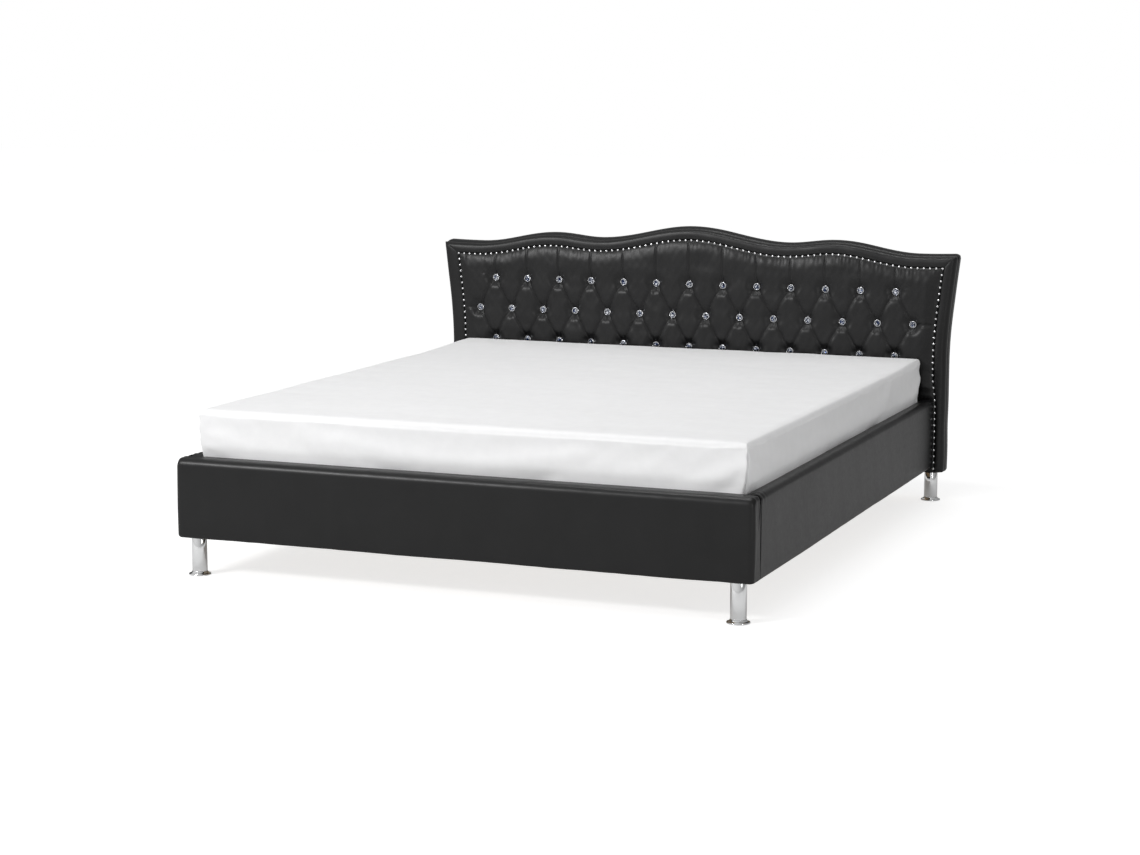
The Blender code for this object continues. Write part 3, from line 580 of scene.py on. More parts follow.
# ---- Padded border ----
TOP_WIDTH, UPRIGHT_WIDTH = 0.0470, 0.0455
ROLL = 0.020  # the front band starts this far in from the outline
SEAM_DEPTH, SEAM_REACH = 0.0016, 0.006  # at the mitres
HEM_DEPTH, HEM_REACH = 0.0040, 0.0035  # at the uprights' feet
CORNER_RADIUS = 0.026
OUTER_BAND = 0.030  # soft shaping fades out this far in
SLOW_START = 1.15  # closes up the sections towards the mitres
UPRIGHT_EDGE = (0.0200, 0.0150, 0.0108, 0.0074, 0.0046, 0.0028, 0.0018, 0.0017, 0.0022, 0.0029,
                0.0032, 0.0029, 0.0022, 0.0012, 0.0006, 0.0003)


def border_section(width):
    """Section of the border as (distance in from the outline, distance back from the front)."""
    middle = (width + ROLL) / 2
    return np.array([
        (width, 0.0075), (width - 0.0008, 0.0040), (width - 0.0030, 0.0012),
        (width - 0.0070, 0.0001), (middle, -0.0006), (ROLL, 0.0004), (0.0165, 0.0020),
        (0.0132, 0.0046), (0.0106, 0.0082), (0.0090, 0.0125), (0.0084, 0.0170),
        (0.0089, 0.0214), (0.0105, 0.0254), (0.0131, 0.0288), (0.0158, 0.0310),
        (0.0168, 0.0328), (0.0152, 0.0344), (0.0118, 0.0360), (0.0076, 0.0390),
        (0.0040, 0.0432), (0.0014, 0.0490), (0.0002, 0.0560), (0.0002, 0.0640),
        (0.0014, 0.0716), (0.0044, 0.0780), (0.0092, 0.0828), (0.0156, 0.0858),
        (0.0230, 0.0868), (width, 0.0868), (width, 0.0620), (width, 0.0300)])


def pinch(away):
    """Pulls a section in near a mitred end, so the seam shows as a valley."""
    return SEAM_DEPTH * np.exp(-np.clip(away, 0, 1) / SEAM_REACH)


def corner_round(x, z, inset):
    """Rounds the outline's top corners."""
    radius = CORNER_RADIUS
    tip_x, tip_z = (float(v) for v in meeting(0.0, 0.0))
    share = np.clip(1 - inset / OUTER_BAND, 0, 1)
    u = np.clip(radius - (tip_x - np.abs(x) + (z - tip_z) * FLARE_SLOPE), 0, radius)
    v = np.clip(radius - (tip_z - z), 0, radius)
    both = np.hypot(u, v)
    over = np.clip(both - radius, 0, None) * share / np.maximum(both, 1e-9)
    return x - np.sign(x) * u * over, z - v * over


def upright_section(side, z):
    """Section of a side border: a softly rounded edge, its front band as wide as the nails ask."""
    section = border_section(UPRIGHT_WIDTH)
    section[5:5 + len(UPRIGHT_EDGE), 0] = UPRIGHT_EDGE
    widening = nail_inset(z, side) - 0.0025 - UPRIGHT_WIDTH
    front = np.clip((section[:, 0] - ROLL) / (UPRIGHT_WIDTH - ROLL), 0, 1)
    section[:, 0] += widening * front * (section[:, 1] < 0.01)
    return section


def border(name, side):
    """side is 0 for the top, -1 or 1 for an upright."""
    top = border_section(TOP_WIDTH)
    ends = {sign: meeting(top[:, 0], upright_section(sign, 0.87)[:, 0]) for sign in (-1, 1)}
    loops = []
    if side == 0:
        shares = np.linspace(-1, 1, steps(340))
        for s in np.sign(shares) * (1 - (1 - np.abs(shares)) ** SLOW_START):
            x = s * ends[1 if s > 0 else -1][0]
            close = pinch(1 - abs(s))
            d = top[:, 0] + close
            y = HEAD + top[:, 1] + close * (top[:, 1] < 0.01)
            loops.append((x, top_inset(x, d), y, d))
    else:
        cz = ends[side][1]
        for t in 1 - (1 - np.linspace(0, 1, steps(150))) ** SLOW_START:
            z = HEADBOARD_BOTTOM + 0.0005 + t * (cz - HEADBOARD_BOTTOM - 0.0005)
            upright = upright_section(side, z.mean())
            close = pinch((1 - t) * 0.8) + HEM_DEPTH * np.exp(-t * 0.8 / HEM_REACH)
            d = np.where(upright[:, 1] > 0.01, np.minimum(upright[:, 0] + close, UPRIGHT_WIDTH),
                         upright[:, 0] + close * (upright[:, 0] < upright[0, 0] - 0.002))
            x = side_inset(z, d)
            y = HEAD + upright[:, 1] + np.where(upright[:, 1] < 0.01, close, 0)
            y = y - np.where(upright[:, 1] > 0.08, close * 0.5, 0)
            loops.append((side * x, z, y, d))
    rows = []
    for x, z, y, d in loops:
        x, z = corner_round(x, z, d)
        rows.append(np.stack([x, y, z], -1))
    rows = np.asarray(rows)
    flat = rows.reshape(-1, 3)
    d = np.concatenate([each[3] for each in loops])
    outer = np.clip(1 - d / OUTER_BAND, 0, 1)
    soft = 0.0004 * unevenness(flat, 0.16, 21)
    if side == 0:
        flat[:, 2] += soft * outer
    else:
        flat[:, 0] += side * soft * outer
    band = (flat[:, 1] < HEAD + 0.006) & (d > 0.012)
    flat[:, 1] += np.where(band, 0.0005 * unevenness(flat, 0.09, 23), 0)
    rows = flat.reshape(rows.shape)
    if side <= 0:
        rows = rows[:, ::-1]
    stands = {0: "border_top", -1: "border_left", 1: "border_right"}[side]
    swept(name, rows, LEATHER, stands_for=[stands], slot="black_leather", fill=0.85)


def nail_lines():
    """Evenly spaced places along the top line, then down the left and the right."""
    ends = {side: [float(v) for v in meeting(NAIL_TOP, nail_inset(0.87, side))] for side in (-1, 1)}
    x = np.linspace(-ends[-1][0], ends[1][0], 4000)
    z = top_inset(x, NAIL_TOP)
    length = np.concatenate([[0], np.cumsum(np.hypot(np.diff(x), np.diff(z)))])
    at = np.linspace(0, length[-1], round(length[-1] / NAIL_PITCH) + 1)
    lines = [np.stack([np.interp(at, length, x), np.interp(at, length, z)], -1)]
    for side in (-1, 1):
        down = np.arange(ends[side][1] - NAIL_PITCH, HEADBOARD_BOTTOM + 0.009, -NAIL_PITCH)
        lines.append(np.stack([side * side_inset(down, nail_inset(down, side)), down], -1))
    return lines


def rings(x, y, z, profile, count, twist=0.0):
    """Rings of points facing the foot end: profile is (radius, y, share of a step turned)."""
    return [(x + r * math.cos(t), y + forward, z + r * math.sin(t))
            for r, forward, shift in profile
            for t in (twist + 2 * math.pi * (k + shift) / count for k in range(count))]


NAIL_PROFILE = ((0.0040, 0.0028, 0), (0.0042, 0.0, 0), (0.0045, -0.0004, 0),
                (0.0043, -0.0009, 0), (0.0038, -0.0018, 0), (0.0028, -0.0027, 0),
                (0.0015, -0.0032, 0))
NAIL_TIP = -0.0034
NAIL_AROUND = 14


def nails(name, places, node_name):
    """Domed nailheads with a rolled rim, standing on the seam between border and panel."""
    verts, faces = [], []
    y = HEAD - 0.0002
    for x, z in places:
        start = len(verts)
        verts += rings(x, y, z, NAIL_PROFILE, NAIL_AROUND) + [(x, y + NAIL_TIP, z)]
        walls = strips(len(NAIL_PROFILE), NAIL_AROUND, True) + start
        tip = len(verts) - 1
        last = tip - NAIL_AROUND
        faces += walls.tolist()
        faces += [[last + k, last + (k + 1) % NAIL_AROUND, tip] for k in range(NAIL_AROUND)]
        faces.append([start + k for k in range(NAIL_AROUND)][::-1])
    piece(name, verts, faces, SILVER, stands_for=[node_name], slot="nail_silver")


# ---- Crystal buttons ----
CRYSTAL_FORWARD = 0.0105  # in front of the leather's seat plane
CRYSTAL_TIP = -0.0080
RING_PROFILE = ((0.0105, 0.0, 0), (0.0124, -0.0004, 0), (0.0132, -0.0016, 0),
                (0.0130, -0.0030, 0), (0.0119, -0.0038, 0), (0.0108, -0.0031, 0))
CUT_PROFILE = ((0.0109, -0.0030, 0.0), (0.0084, -0.0062, 0.5), (0.0050, -0.0078, 0.0))
RING_AROUND, FACETS = 24, 8


def crystals(number, places):
    """A row of cut crystals, each in a thin bright ring; the navy and dark facets are painted
    reflections.
    """
    dice = np.random.default_rng(40 + number)
    verts, faces, finish = [], [], []
    y = SEAT - CRYSTAL_FORWARD
    for x, z in places:
        twist = dice.uniform(0, 0.8)
        faces += (strips(len(RING_PROFILE), RING_AROUND, True) + len(verts)).tolist()
        finish += [0] * (RING_AROUND * (len(RING_PROFILE) - 1))
        verts += rings(x, y, z, RING_PROFILE, RING_AROUND)
        lower = len(verts)
        middle, upper = lower + FACETS, lower + 2 * FACETS
        verts += rings(x, y, z, CUT_PROFILE, FACETS, twist) + [(x, y + CRYSTAL_TIP, z)]
        for k in range(FACETS):
            n = (k + 1) % FACETS
            faces += [[lower + k, lower + n, middle + k], [middle + k, lower + n, middle + n],
                      [middle + k, middle + n, upper + n], [upper + k, middle + k, upper + n],
                      [upper + k, upper + n, upper + FACETS]]
            # Each facet gets the pale mirror finish or one of the two painted reflections, navy and
            # dark, at random.
            finish += [int(v) for v in dice.choice([1, 2], 2, p=[0.85, 0.15])]
            finish += [int(v) for v in dice.choice([1, 2, 3], 3, p=[0.34, 0.40, 0.26])]
    made = piece("crystal_row_%d" % number, verts, faces,
                 [SILVER, CRYSTAL_PALE, CRYSTAL_NAVY_REFLECTION, CRYSTAL_DARK_REFLECTION], smooth=False,
                 stands_for=["button_row_%d" % number], slot="crystal")
    made.data.polygons.foreach_set("material_index", finish)
    made.data.update()


# ---- Back lining ----
LINING_SIDE, LINING_TOP = 0.0475, 0.0485  # in from the outline
LINING_BOTTOM = HEADBOARD_BOTTOM + 0.0020
LINING_FLAT = -0.0009  # from the headboard's back, where it is slack
STAPLE_PITCH = 0.062


def back_lining():
    """Thin dust cloth over the headboard's back, pulled tight at its stapled edge."""
    b, a = np.meshgrid(np.linspace(0, 1, 90), np.linspace(-1, 1, 200), indexing="ij")
    z = np.full(a.shape, 0.5)
    for _ in range(8):
        x = a * side_inset(z, LINING_SIDE)
        z = LINING_BOTTOM + b * (top_inset(x, LINING_TOP) - LINING_BOTTOM)
    top = top_inset(x, LINING_TOP)
    edge = np.minimum(np.minimum(top - z, side_inset(z, LINING_SIDE) - np.abs(x)),
                      z - LINING_BOTTOM)
    points = np.stack([x, z * 0, z], -1).reshape(-1, 3)
    slack = unevenness(points, 0.55, 91).reshape(x.shape)
    pulls = np.sin(np.where(top - z < 0.12, x, z) * 2 * math.pi / STAPLE_PITCH)
    y = HEAD_BACK + LINING_FLAT - 0.0006 * ease(edge / 0.2) * (1 + slack)
    y += 0.0005 * pulls * np.exp(-edge / 0.05) * ease(edge / 0.012)
    hem = ease((0.0135 - edge) / 0.0015)
    y = np.clip(y + 0.0004 * hem, HEAD_BACK - 0.0014, HEAD_BACK - 0.0001)
    faces = strips(*x.shape, False)
    return piece("headboard_back_lining", np.stack([x, y, z], -1).reshape(-1, 3), faces[:, ::-1],
                 LINING, stands_for=["headboard_back_cover"], slot="dust_cloth")


# ---- Footboard and side rails ----
CORNER_FOLD = np.array([RAIL_OUTER - 0.012, FOOTBOARD_BACK, FRAME_TOP])
SOFTNESS = 0.0006  # unevenness of the padded rails
FOLD_DEPTH = 0.0015  # of the leather gathered at a corner
CUT_END = 0.0015  # rounding of a side rail's end at the footboard
FRAME_HEIGHT = FRAME_TOP - FRAME_BOTTOM
CENTRE_Z = (FRAME_TOP + FRAME_BOTTOM) / 2


def arc(centre, radius, start, end, count):
    """Points along an arc, in degrees."""
    turn = np.radians(np.linspace(start, end, count + 1))
    return [(centre[0] + radius * math.cos(t), centre[1] + radius * math.sin(t)) for t in turn]


def run(start, end, count):
    """Points on a straight stretch, without its ends."""
    return [tuple(np.array(start) + (np.array(end) - np.array(start)) * i / count)
            for i in range(1, count)]


def padded_section(low, high, bottom, top, low_radius, high_radius, foot=0.008):
    """Closed section of an upholstered rail, with its straight runs divided for soft shaping."""
    corners = [
        arc((low + foot, bottom + foot), foot, 180, 270, 4),
        arc((high - foot, bottom + foot), foot, 270, 360, 4),
        arc((high - high_radius, top - high_radius), high_radius, 0, 90, 8),
        arc((low + low_radius, top - low_radius), low_radius, 90, 180, 8)]
    loop = []
    for corner, following, count in zip(corners, corners[1:] + corners[:1], (5, 16, 4, 16)):
        loop += corner + run(corner[-1], following[0], count)
    return np.array(loop)


def crumple(points):
    """Folds of leather gathered where the footboard's top meets a rail's top."""
    mirrored = points.copy()
    mirrored[:, 0] = np.abs(points[:, 0])
    away = mirrored - CORNER_FOLD
    reach = np.exp(-(away[:, 0] / 0.040) ** 2 - (away[:, 1] / 0.045) ** 2
                   - (away[:, 2] / 0.026) ** 2)
    fold = np.sin(away[:, 1] * 235 + away[:, 0] * 95 + away[:, 2] * 120)
    return reach * (FOLD_DEPTH * fold + 0.0012 * unevenness(mirrored, 0.022, 31) - 0.0008)


def soft_shape(rows, seed):
    """The points of section loops, their outward directions, and a soft unevenness."""
    rows = np.asarray(rows, float)
    flat = rows.reshape(-1, 3)
    ahead = np.roll(rows, -1, axis=1) - np.roll(rows, 1, axis=1)
    along = np.gradient(rows, axis=0)
    outward = np.cross(ahead, along).reshape(-1, 3)
    outward /= np.maximum(np.linalg.norm(outward, axis=1, keepdims=True), 1e-9)
    centre = np.repeat(rows.mean(axis=1), rows.shape[1], axis=0)
    facing = np.sign(np.sum(outward * (flat - centre), axis=1, keepdims=True))
    outward *= facing
    soft = SOFTNESS * (unevenness(flat, 0.30, seed) + 0.45 * unevenness(flat, 0.085, seed + 1))
    return flat, outward, soft


def foam_pad(name, rows, seed, node_name):
    """The foam inside a padded rail."""
    rows = np.asarray(rows)
    flat, outward, soft = soft_shape(rows, seed)
    swept(name, (flat + outward * soft[:, None]).reshape(rows.shape), FOAM,
          stands_for=[node_name], slot="foam", fill=0.8)


def footboard():
    """The padded footboard, its ends turned round onto the rails."""
    section = padded_section(FRONT, FOOTBOARD_BACK - 0.0003, FRAME_BOTTOM, FRAME_TOP, 0.024, 0.008)
    radius, depth = 0.016, 0.014
    straight = RAIL_OUTER - radius
    turn = np.radians(np.linspace(0, 90, 9))
    places = [(-straight - radius * math.sin(t), t) for t in turn[:0:-1]]
    places += [(x, 0.0) for x in np.linspace(-1, 1, steps(220)) * straight]
    places += [(straight + radius * math.sin(t), t) for t in turn[1:]]
    centre_y = (FRONT + FOOTBOARD_BACK) / 2
    rows = []
    for x, t in places:
        shrink = depth * (1 - math.cos(t))
        y, z = section[:, 0].copy(), section[:, 1].copy()
        front = np.clip((centre_y - y) / (centre_y - FRONT), 0, 1)
        back = np.clip((y - centre_y) / (FOOTBOARD_BACK - centre_y), 0, 1)
        upper = np.clip((z - CENTRE_Z) / (FRAME_TOP - CENTRE_Z), 0, 1)
        lower = np.clip((CENTRE_Z - z) / (CENTRE_Z - FRAME_BOTTOM), 0, 1)
        y = y + shrink * front - 0.25 * shrink * back
        z = z - shrink * upper + 0.35 * shrink * lower
        rows.append(np.stack([np.full(len(y), x), y, z], -1))
    rows = np.asarray(rows)
    flat, outward, soft = soft_shape(rows, 51)
    swell = 0.0022 * np.sin(math.pi * np.clip((flat[:, 2] - FRAME_BOTTOM) / FRAME_HEIGHT, 0, 1))
    free = ease((FOOTBOARD_BACK - 0.004 - flat[:, 1]) / 0.02)
    flat = flat + outward * ((soft + swell) * free + crumple(flat))[:, None]
    flat[:, 1] = np.clip(flat[:, 1], FRONT - 0.004, FOOTBOARD_BACK - 0.0003)
    swept("footboard_upholstery", flat.reshape(rows.shape), LEATHER, bulge=0.0015,
          stands_for=["footboard_cover"], slot="black_leather", fill=0.8)
    inner = padded_section(FRONT + 0.004, FOOTBOARD_BACK - 0.016, FRAME_BOTTOM + 0.003,
                           FRAME_TOP - 0.004, 0.021, 0.006, 0.005)
    rows = [np.stack([np.full(len(inner), x), inner[:, 0], inner[:, 1]], -1)
            for x in np.linspace(-RAIL_OUTER + 0.022, RAIL_OUTER - 0.022, 60)]
    foam_pad("footboard_foam_pad", rows, 53, "footboard_foam")


def side_rail(word, side):
    """A padded side rail from the footboard to the headboard; side is -1 or 1."""
    section = padded_section(RAIL_INNER + 0.0004, RAIL_OUTER, FRAME_BOTTOM, FRAME_TOP, 0.009, 0.018)
    ends = np.radians(np.linspace(90, 0, 6))
    start, stop = FOOTBOARD_BACK + 0.0003, HEAD - 0.0003
    places = [(start + CUT_END * (1 - math.sin(t)), t) for t in ends[:-1]]
    places += [(y, 0.0) for y in np.linspace(start + CUT_END, stop - 0.002, steps(260))]
    rows = []
    for y, t in places + [(stop, 0.0)]:
        shrink = CUT_END * (1 - math.cos(t))
        x, z = section[:, 0].copy(), section[:, 1].copy()
        outer = np.clip((x - (RAIL_INNER + RAIL_OUTER) / 2) / 0.023, 0, 1)
        upper = np.clip((z - CENTRE_Z) / (FRAME_TOP - CENTRE_Z), 0, 1)
        x, z = x - shrink * outer * 0.8, z - shrink * upper * 0.8
        rows.append(np.stack([side * x, np.full(len(x), y), z], -1))
    rows = np.asarray(rows)
    if side > 0:
        rows = rows[:, ::-1]
    flat, outward, soft = soft_shape(rows, 61 if side > 0 else 71)
    swell = 0.0020 * np.sin(math.pi * np.clip((flat[:, 2] - FRAME_BOTTOM) / FRAME_HEIGHT, 0, 1))
    free = ease((np.abs(flat[:, 0]) - RAIL_INNER - 0.006) / 0.012)
    flat = flat + outward * ((soft + swell + crumple(flat)) * free)[:, None]
    flat[:, 1] = np.clip(flat[:, 1], start, stop)
    swept("rail_upholstery_" + word, flat.reshape(rows.shape), LEATHER,
          stands_for=["rail_cover_" + word], slot="black_leather", fill=0.8)
    inner = padded_section(RAIL_INNER + 0.026, RAIL_OUTER - 0.004, FRAME_BOTTOM + 0.003,
                           FRAME_TOP - 0.004, 0.006, 0.014, 0.004)
    rows = [np.stack([side * inner[:, 0], np.full(len(inner), y), inner[:, 1]], -1)
            for y in np.linspace(FOOTBOARD_BACK + 0.014, HEAD - 0.014, 60)]
    rows = np.asarray(rows)
    if side > 0:
        rows = rows[:, ::-1]
    foam_pad("rail_foam_pad_" + word, rows, 63, "rail_foam_" + word)


# ---- Mattress and fitted sheet ----
def soft_block(low, high, radii, step, open_below=None):
    """Grids over the faces of a block with rounded edges; open_below leaves a mouth."""
    low, high, radii = (np.array(v, float) for v in (low, high, radii))

    def stations(axis):
        edge = np.linspace(0, radii[axis], 7)
        inner = np.linspace(low[axis] + radii[axis], high[axis] - radii[axis],
                            max(3, int((high[axis] - low[axis]) / step)))
        return np.concatenate([low[axis] + edge[:-1], inner, high[axis] - edge[-2::-1]])

    lines = [stations(0), stations(1), stations(2)]
    verts, faces = [], []
    for axis in range(3):
        u_axis, v_axis = [i for i in range(3) if i != axis]
        u, v = np.meshgrid(lines[u_axis], lines[v_axis], indexing="ij")
        for end in (low, high):
            grid = np.zeros(u.shape + (3,))
            grid[..., u_axis], grid[..., v_axis], grid[..., axis] = u, v, end[axis]
            quads = strips(u.shape[0], u.shape[1], False)
            flip = (axis == 1) == (end is high)
            if flip:
                quads = quads[:, ::-1]
            if open_below is not None and axis == 2 and end is low:
                middle = grid.reshape(-1, 3)[quads].mean(axis=1)
                inside = np.all((middle[:, :2] > low[:2] + open_below)
                                & (middle[:, :2] < high[:2] - open_below), axis=1)
                quads = quads[~inside]
            faces += (quads + len(verts)).tolist()
            verts += list(grid.reshape(-1, 3))
    verts = np.array(verts)
    core = np.clip(verts, low + radii, high - radii)
    away = (verts - core) / radii
    length = np.linalg.norm(away, axis=1, keepdims=True)
    verts = core + away / np.maximum(length, 1e-9) * radii
    used = np.unique(np.concatenate([np.array(f) for f in faces]))
    keep = {old: new for new, old in enumerate(used)}
    return verts[used], [[keep[i] for i in f] for f in faces]


def joined(made, distance=0.0002):
    """Merges the meeting edges of a piece's grids."""
    shape = bmesh.new()
    shape.from_mesh(made.data)
    bmesh.ops.remove_doubles(shape, verts=shape.verts, dist=distance)
    bmesh.ops.recalc_face_normals(shape, faces=shape.faces)
    shape.to_mesh(made.data)
    shape.free()
    made.data.polygons.foreach_set("use_smooth", [True] * len(made.data.polygons))
    made.data.update()
    return made


CORE_INSET = 0.007  # mattress inside its sheet, all round
CORE_RADII, SHEET_RADII = (0.016, 0.016, 0.026), (0.012, 0.012, 0.020)
QUILTING = 21  # half waves of the quilting in pi metres
HEM = 0.08  # of the sheet, tucked under the mattress
DRAPE_FRAMES, DRAPE_LIMIT = 16, 0.009  # how long, and at most how far, the cloth settles
PROUD = 0.008  # the sheet above the rails, beyond its tucked part


def mattress():
    """The mattress: a softly quilted block."""
    low = (-SHEET_HALF + CORE_INSET, SHEET_START + CORE_INSET, SHEET_BOTTOM + 0.004)
    high = (SHEET_HALF - CORE_INSET, SHEET_END - CORE_INSET, SHEET_TOP - 0.012)
    verts, faces = soft_block(low, high, CORE_RADII, 0.030)
    side = np.minimum(SHEET_HALF - np.abs(verts[:, 0]),
                      np.minimum(verts[:, 1] - SHEET_START, SHEET_END - verts[:, 1]))
    level = np.where(verts[:, 2] > 0.42, -1.0, 1.0)
    quilt = np.abs(np.sin(verts[:, 0] * QUILTING) * np.sin(verts[:, 1] * QUILTING)) ** 0.5
    verts[:, 2] += level * 0.004 * (1 - quilt) * ease(side / 0.05)
    made = joined(piece("mattress_core", verts, faces, TICKING, body="mattress",
                        stands_for=["mattress"], slot="ticking"))
    return made


def draped(made, support, held):
    """Lets the sheet settle over the mattress: cloth a little larger than what it covers."""
    start = np.array([v.co for v in made.data.vertices])
    group = made.vertex_groups.new(name="hem")
    group.add([int(i) for i in held], 1.0, "REPLACE")
    stop = support.modifiers.new("stop", "COLLISION")
    support.collision.thickness_outer = 0.003
    support.collision.cloth_friction = 4.0
    cloth = made.modifiers.new("cloth", "CLOTH")
    for key, value in (("quality", 4), ("mass", 0.25), ("tension_stiffness", 25),
                       ("compression_stiffness", 6), ("shear_stiffness", 4),
                       ("bending_stiffness", 0.05), ("shrink_min", -0.006),
                       ("vertex_group_mass", "hem")):
        setattr(cloth.settings, key, value)
    cloth.settings.effector_weights.gravity = 0.35
    cloth.collision_settings.use_self_collision = False
    cloth.collision_settings.distance_min = 0.002
    cloth.point_cache.frame_end = DRAPE_FRAMES
    for step in range(1, DRAPE_FRAMES + 1):
        scene.frame_set(step)
    graph = bpy.context.evaluated_depsgraph_get()
    settled = made.evaluated_get(graph).to_mesh()
    moved = np.array([v.co for v in settled.vertices]) - start
    made.evaluated_get(graph).to_mesh_clear()
    made.modifiers.remove(cloth)
    support.modifiers.remove(stop)
    scene.frame_set(1)
    size = np.linalg.norm(moved, axis=1, keepdims=True)
    moved *= np.minimum(1, DRAPE_LIMIT / np.maximum(size, 1e-9))
    made.data.vertices.foreach_set("co", (start + moved).ravel())
    made.data.update()


def corner_tucks(verts):
    """A tucked crease down each upright corner, with the end's flap full beside it."""
    x, y, z = verts.T
    middle = (SHEET_START + SHEET_END) / 2
    half = (SHEET_END - SHEET_START) / 2
    u, v = SHEET_HALF - np.abs(x), half - np.abs(y - middle)
    beside = u - v
    upright = ease((SHEET_TOP - 0.010 - z) / 0.035) * ease((0.10 - np.minimum(u, v)) / 0.09)
    under = ease((-0.004 - beside) / 0.0045) * np.exp(-np.clip(-beside - 0.004, 0, 1) / 0.035)
    swell = np.exp(-((beside - 0.010) / 0.008) ** 2)
    ripple = np.sin(beside * 150 + z * 14) * np.exp(-np.maximum(u, v) / 0.09)
    outward = np.stack([np.sign(x), 0.7 * np.sign(y - middle) * (beside > -0.03), 0 * x], -1)
    crease = np.exp(-((beside + 0.002) / 0.0034) ** 2)
    amount = (-0.0080 * crease - 0.0020 * under + 0.0020 * swell + 0.0010 * ripple) * upright
    return verts + outward * amount[:, None]


def fitted_sheet(core):
    """The white fitted sheet, settled over the mattress and tucked at its corners."""
    low = (-SHEET_HALF, SHEET_START, SHEET_BOTTOM)
    high = (SHEET_HALF, SHEET_END, SHEET_TOP)
    verts, faces = soft_block(low, high, SHEET_RADII, 0.020, HEM)
    x, y, z = verts.T
    inner = np.minimum(SHEET_HALF - np.abs(x), np.minimum(y - SHEET_START, SHEET_END - y))
    on_top = ease((z - SHEET_TOP + 0.03) / 0.03)
    flat = verts * [1, 1, 0]
    verts[:, 2] += on_top * (0.0045 * ease(inner / 0.35) - 0.0015 + 0.009 * ease((y - 0.55) / 0.4)
                             + 0.0012 * unevenness(flat, 0.35, 81)
                             + 0.0005 * unevenness(flat, 0.10, 82))
    verts[:, 2] += on_top * -0.0012 * np.exp(-((inner - 0.055) / 0.016) ** 2)
    made = joined(piece("white_fitted_sheet", verts, faces, SHEETING, body="mattress",
                        stands_for=["fitted_sheet"], slot="white_sheet"))
    heights = np.array([v.co.z for v in made.data.vertices])
    draped(made, core, np.nonzero(heights < SHEET_BOTTOM + 0.02)[0])
    smooth = made.modifiers.new("smooth", "SUBSURF")
    smooth.levels = smooth.render_levels = 1
    graph = bpy.context.evaluated_depsgraph_get()
    fine = bpy.data.meshes.new_from_object(made.evaluated_get(graph))
    made.modifiers.clear()
    made.data = fine
    verts = corner_tucks(np.array([v.co for v in fine.vertices]))
    sides = ease((SHEET_TOP - 0.03 - verts[:, 2]) / 0.12)
    outward = verts - np.array([0, (SHEET_START + SHEET_END) / 2, 0])
    outward = np.sign(outward) * (np.abs(outward) > np.array([0.85, 0.97, 9.0]))
    hang = 0.0006 * unevenness(verts * [1, 1, 0.18], 0.085, 84) * sides
    verts += outward * hang[:, None]
    proud = PROUD * ease((verts[:, 2] - 0.380) / 0.03)
    verts[:, 0] += np.sign(verts[:, 0]) * proud * ease((np.abs(verts[:, 0]) - 0.80) / 0.09)
    verts[:, 1] -= 0.4 * proud * ease((-0.92 - verts[:, 1]) / 0.12)
    fine.vertices.foreach_set("co", verts.ravel())
    fine.update()
    return made


# ---- Legs and feet ----
LEGS = {"front_left": (-0.887, -1.077), "front_right": (0.887, -1.077),
        "rear_left": (-0.936, 1.052), "rear_right": (0.936, 1.052)}


def legs():
    """Chrome tubes and their disc feet."""
    for place_name, centre in LEGS.items():
        top = (FRAME_BOTTOM if "front" in place_name else HEADBOARD_BOTTOM) - 0.0003
        turned("chrome_leg_" + place_name, [
            (0.0046, top), (0.0225, top), (0.0236, top - 0.0004), (0.0240, top - 0.0014),
            (0.0240, 0.0140), (0.0236, 0.0128), (0.0228, 0.0124), (0.0068, 0.0124),
            (0.0068, 0.0230), (0.0225, 0.0240), (0.0225, top - 0.0035), (0.0046, top - 0.0035),
        ][::-1], centre, CHROME, stands_for=["leg_" + place_name], slot="chrome")
        turned("chrome_foot_" + place_name, [
            (0.0005, 0.0), (0.0330, 0.0), (0.0345, 0.0006), (0.0350, 0.0018), (0.0350, 0.0034),
            (0.0344, 0.0046), (0.0325, 0.0055), (0.0295, 0.0065), (0.0272, 0.0078),
            (0.0258, 0.0094), (0.0250, 0.0112), (0.0240, 0.0120), (0.0060, 0.0120),
            (0.0060, 0.0455), (0.0052, 0.0460), (0.0005, 0.0460),
        ], centre, CHROME, body="foot_%s_body" % place_name,
               stands_for=["foot_" + place_name], slot="chrome")


def centre_supports():
    """Round steel legs under the centre beam, with their levelling feet."""
    for word in ("front", "rear"):
        low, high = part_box("centre_leg_" + word)
        foot_low, foot_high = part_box("centre_foot_" + word)
        centre = ((low[0] + high[0]) / 2, (low[1] + high[1]) / 2)
        flange, disc = (high[0] - low[0]) / 2, (foot_high[0] - foot_low[0]) / 2
        top, bottom = high[2], low[2]
        turned("support_leg_" + word, [
            (0.0060, top), (flange - 0.0008, top), (flange, top - 0.0008), (flange, top - 0.0032),
            (flange - 0.0008, top - 0.0040), (0.0190, top - 0.0042), (0.0164, top - 0.0052),
            (0.0156, top - 0.0075), (0.0155, bottom + 0.0015), (0.0150, bottom + 0.0004),
            (0.0140, bottom), (0.0068, bottom), (0.0068, bottom + 0.0110),
            (0.0130, bottom + 0.0120), (0.0130, top - 0.0070), (0.0060, top - 0.0070),
        ][::-1], centre, BLACK_STEEL, stands_for=["centre_leg_" + word], slot="black_steel")
        turned("support_foot_" + word, [
            (0.0005, 0.0), (disc - 0.0018, 0.0), (disc - 0.0004, 0.0006), (disc, 0.0018),
            (disc, 0.0034), (disc - 0.0006, 0.0046), (disc - 0.0030, 0.0060), (0.0180, 0.0085),
            (0.0150, 0.0118), (0.0058, 0.0120), (0.0058, foot_high[2] - 0.0010),
            (0.0050, foot_high[2]), (0.0005, foot_high[2]),
        ], centre, BLACK_STEEL, body="centre_foot_%s_body" % word,
               stands_for=["centre_foot_" + word], slot="black_steel")


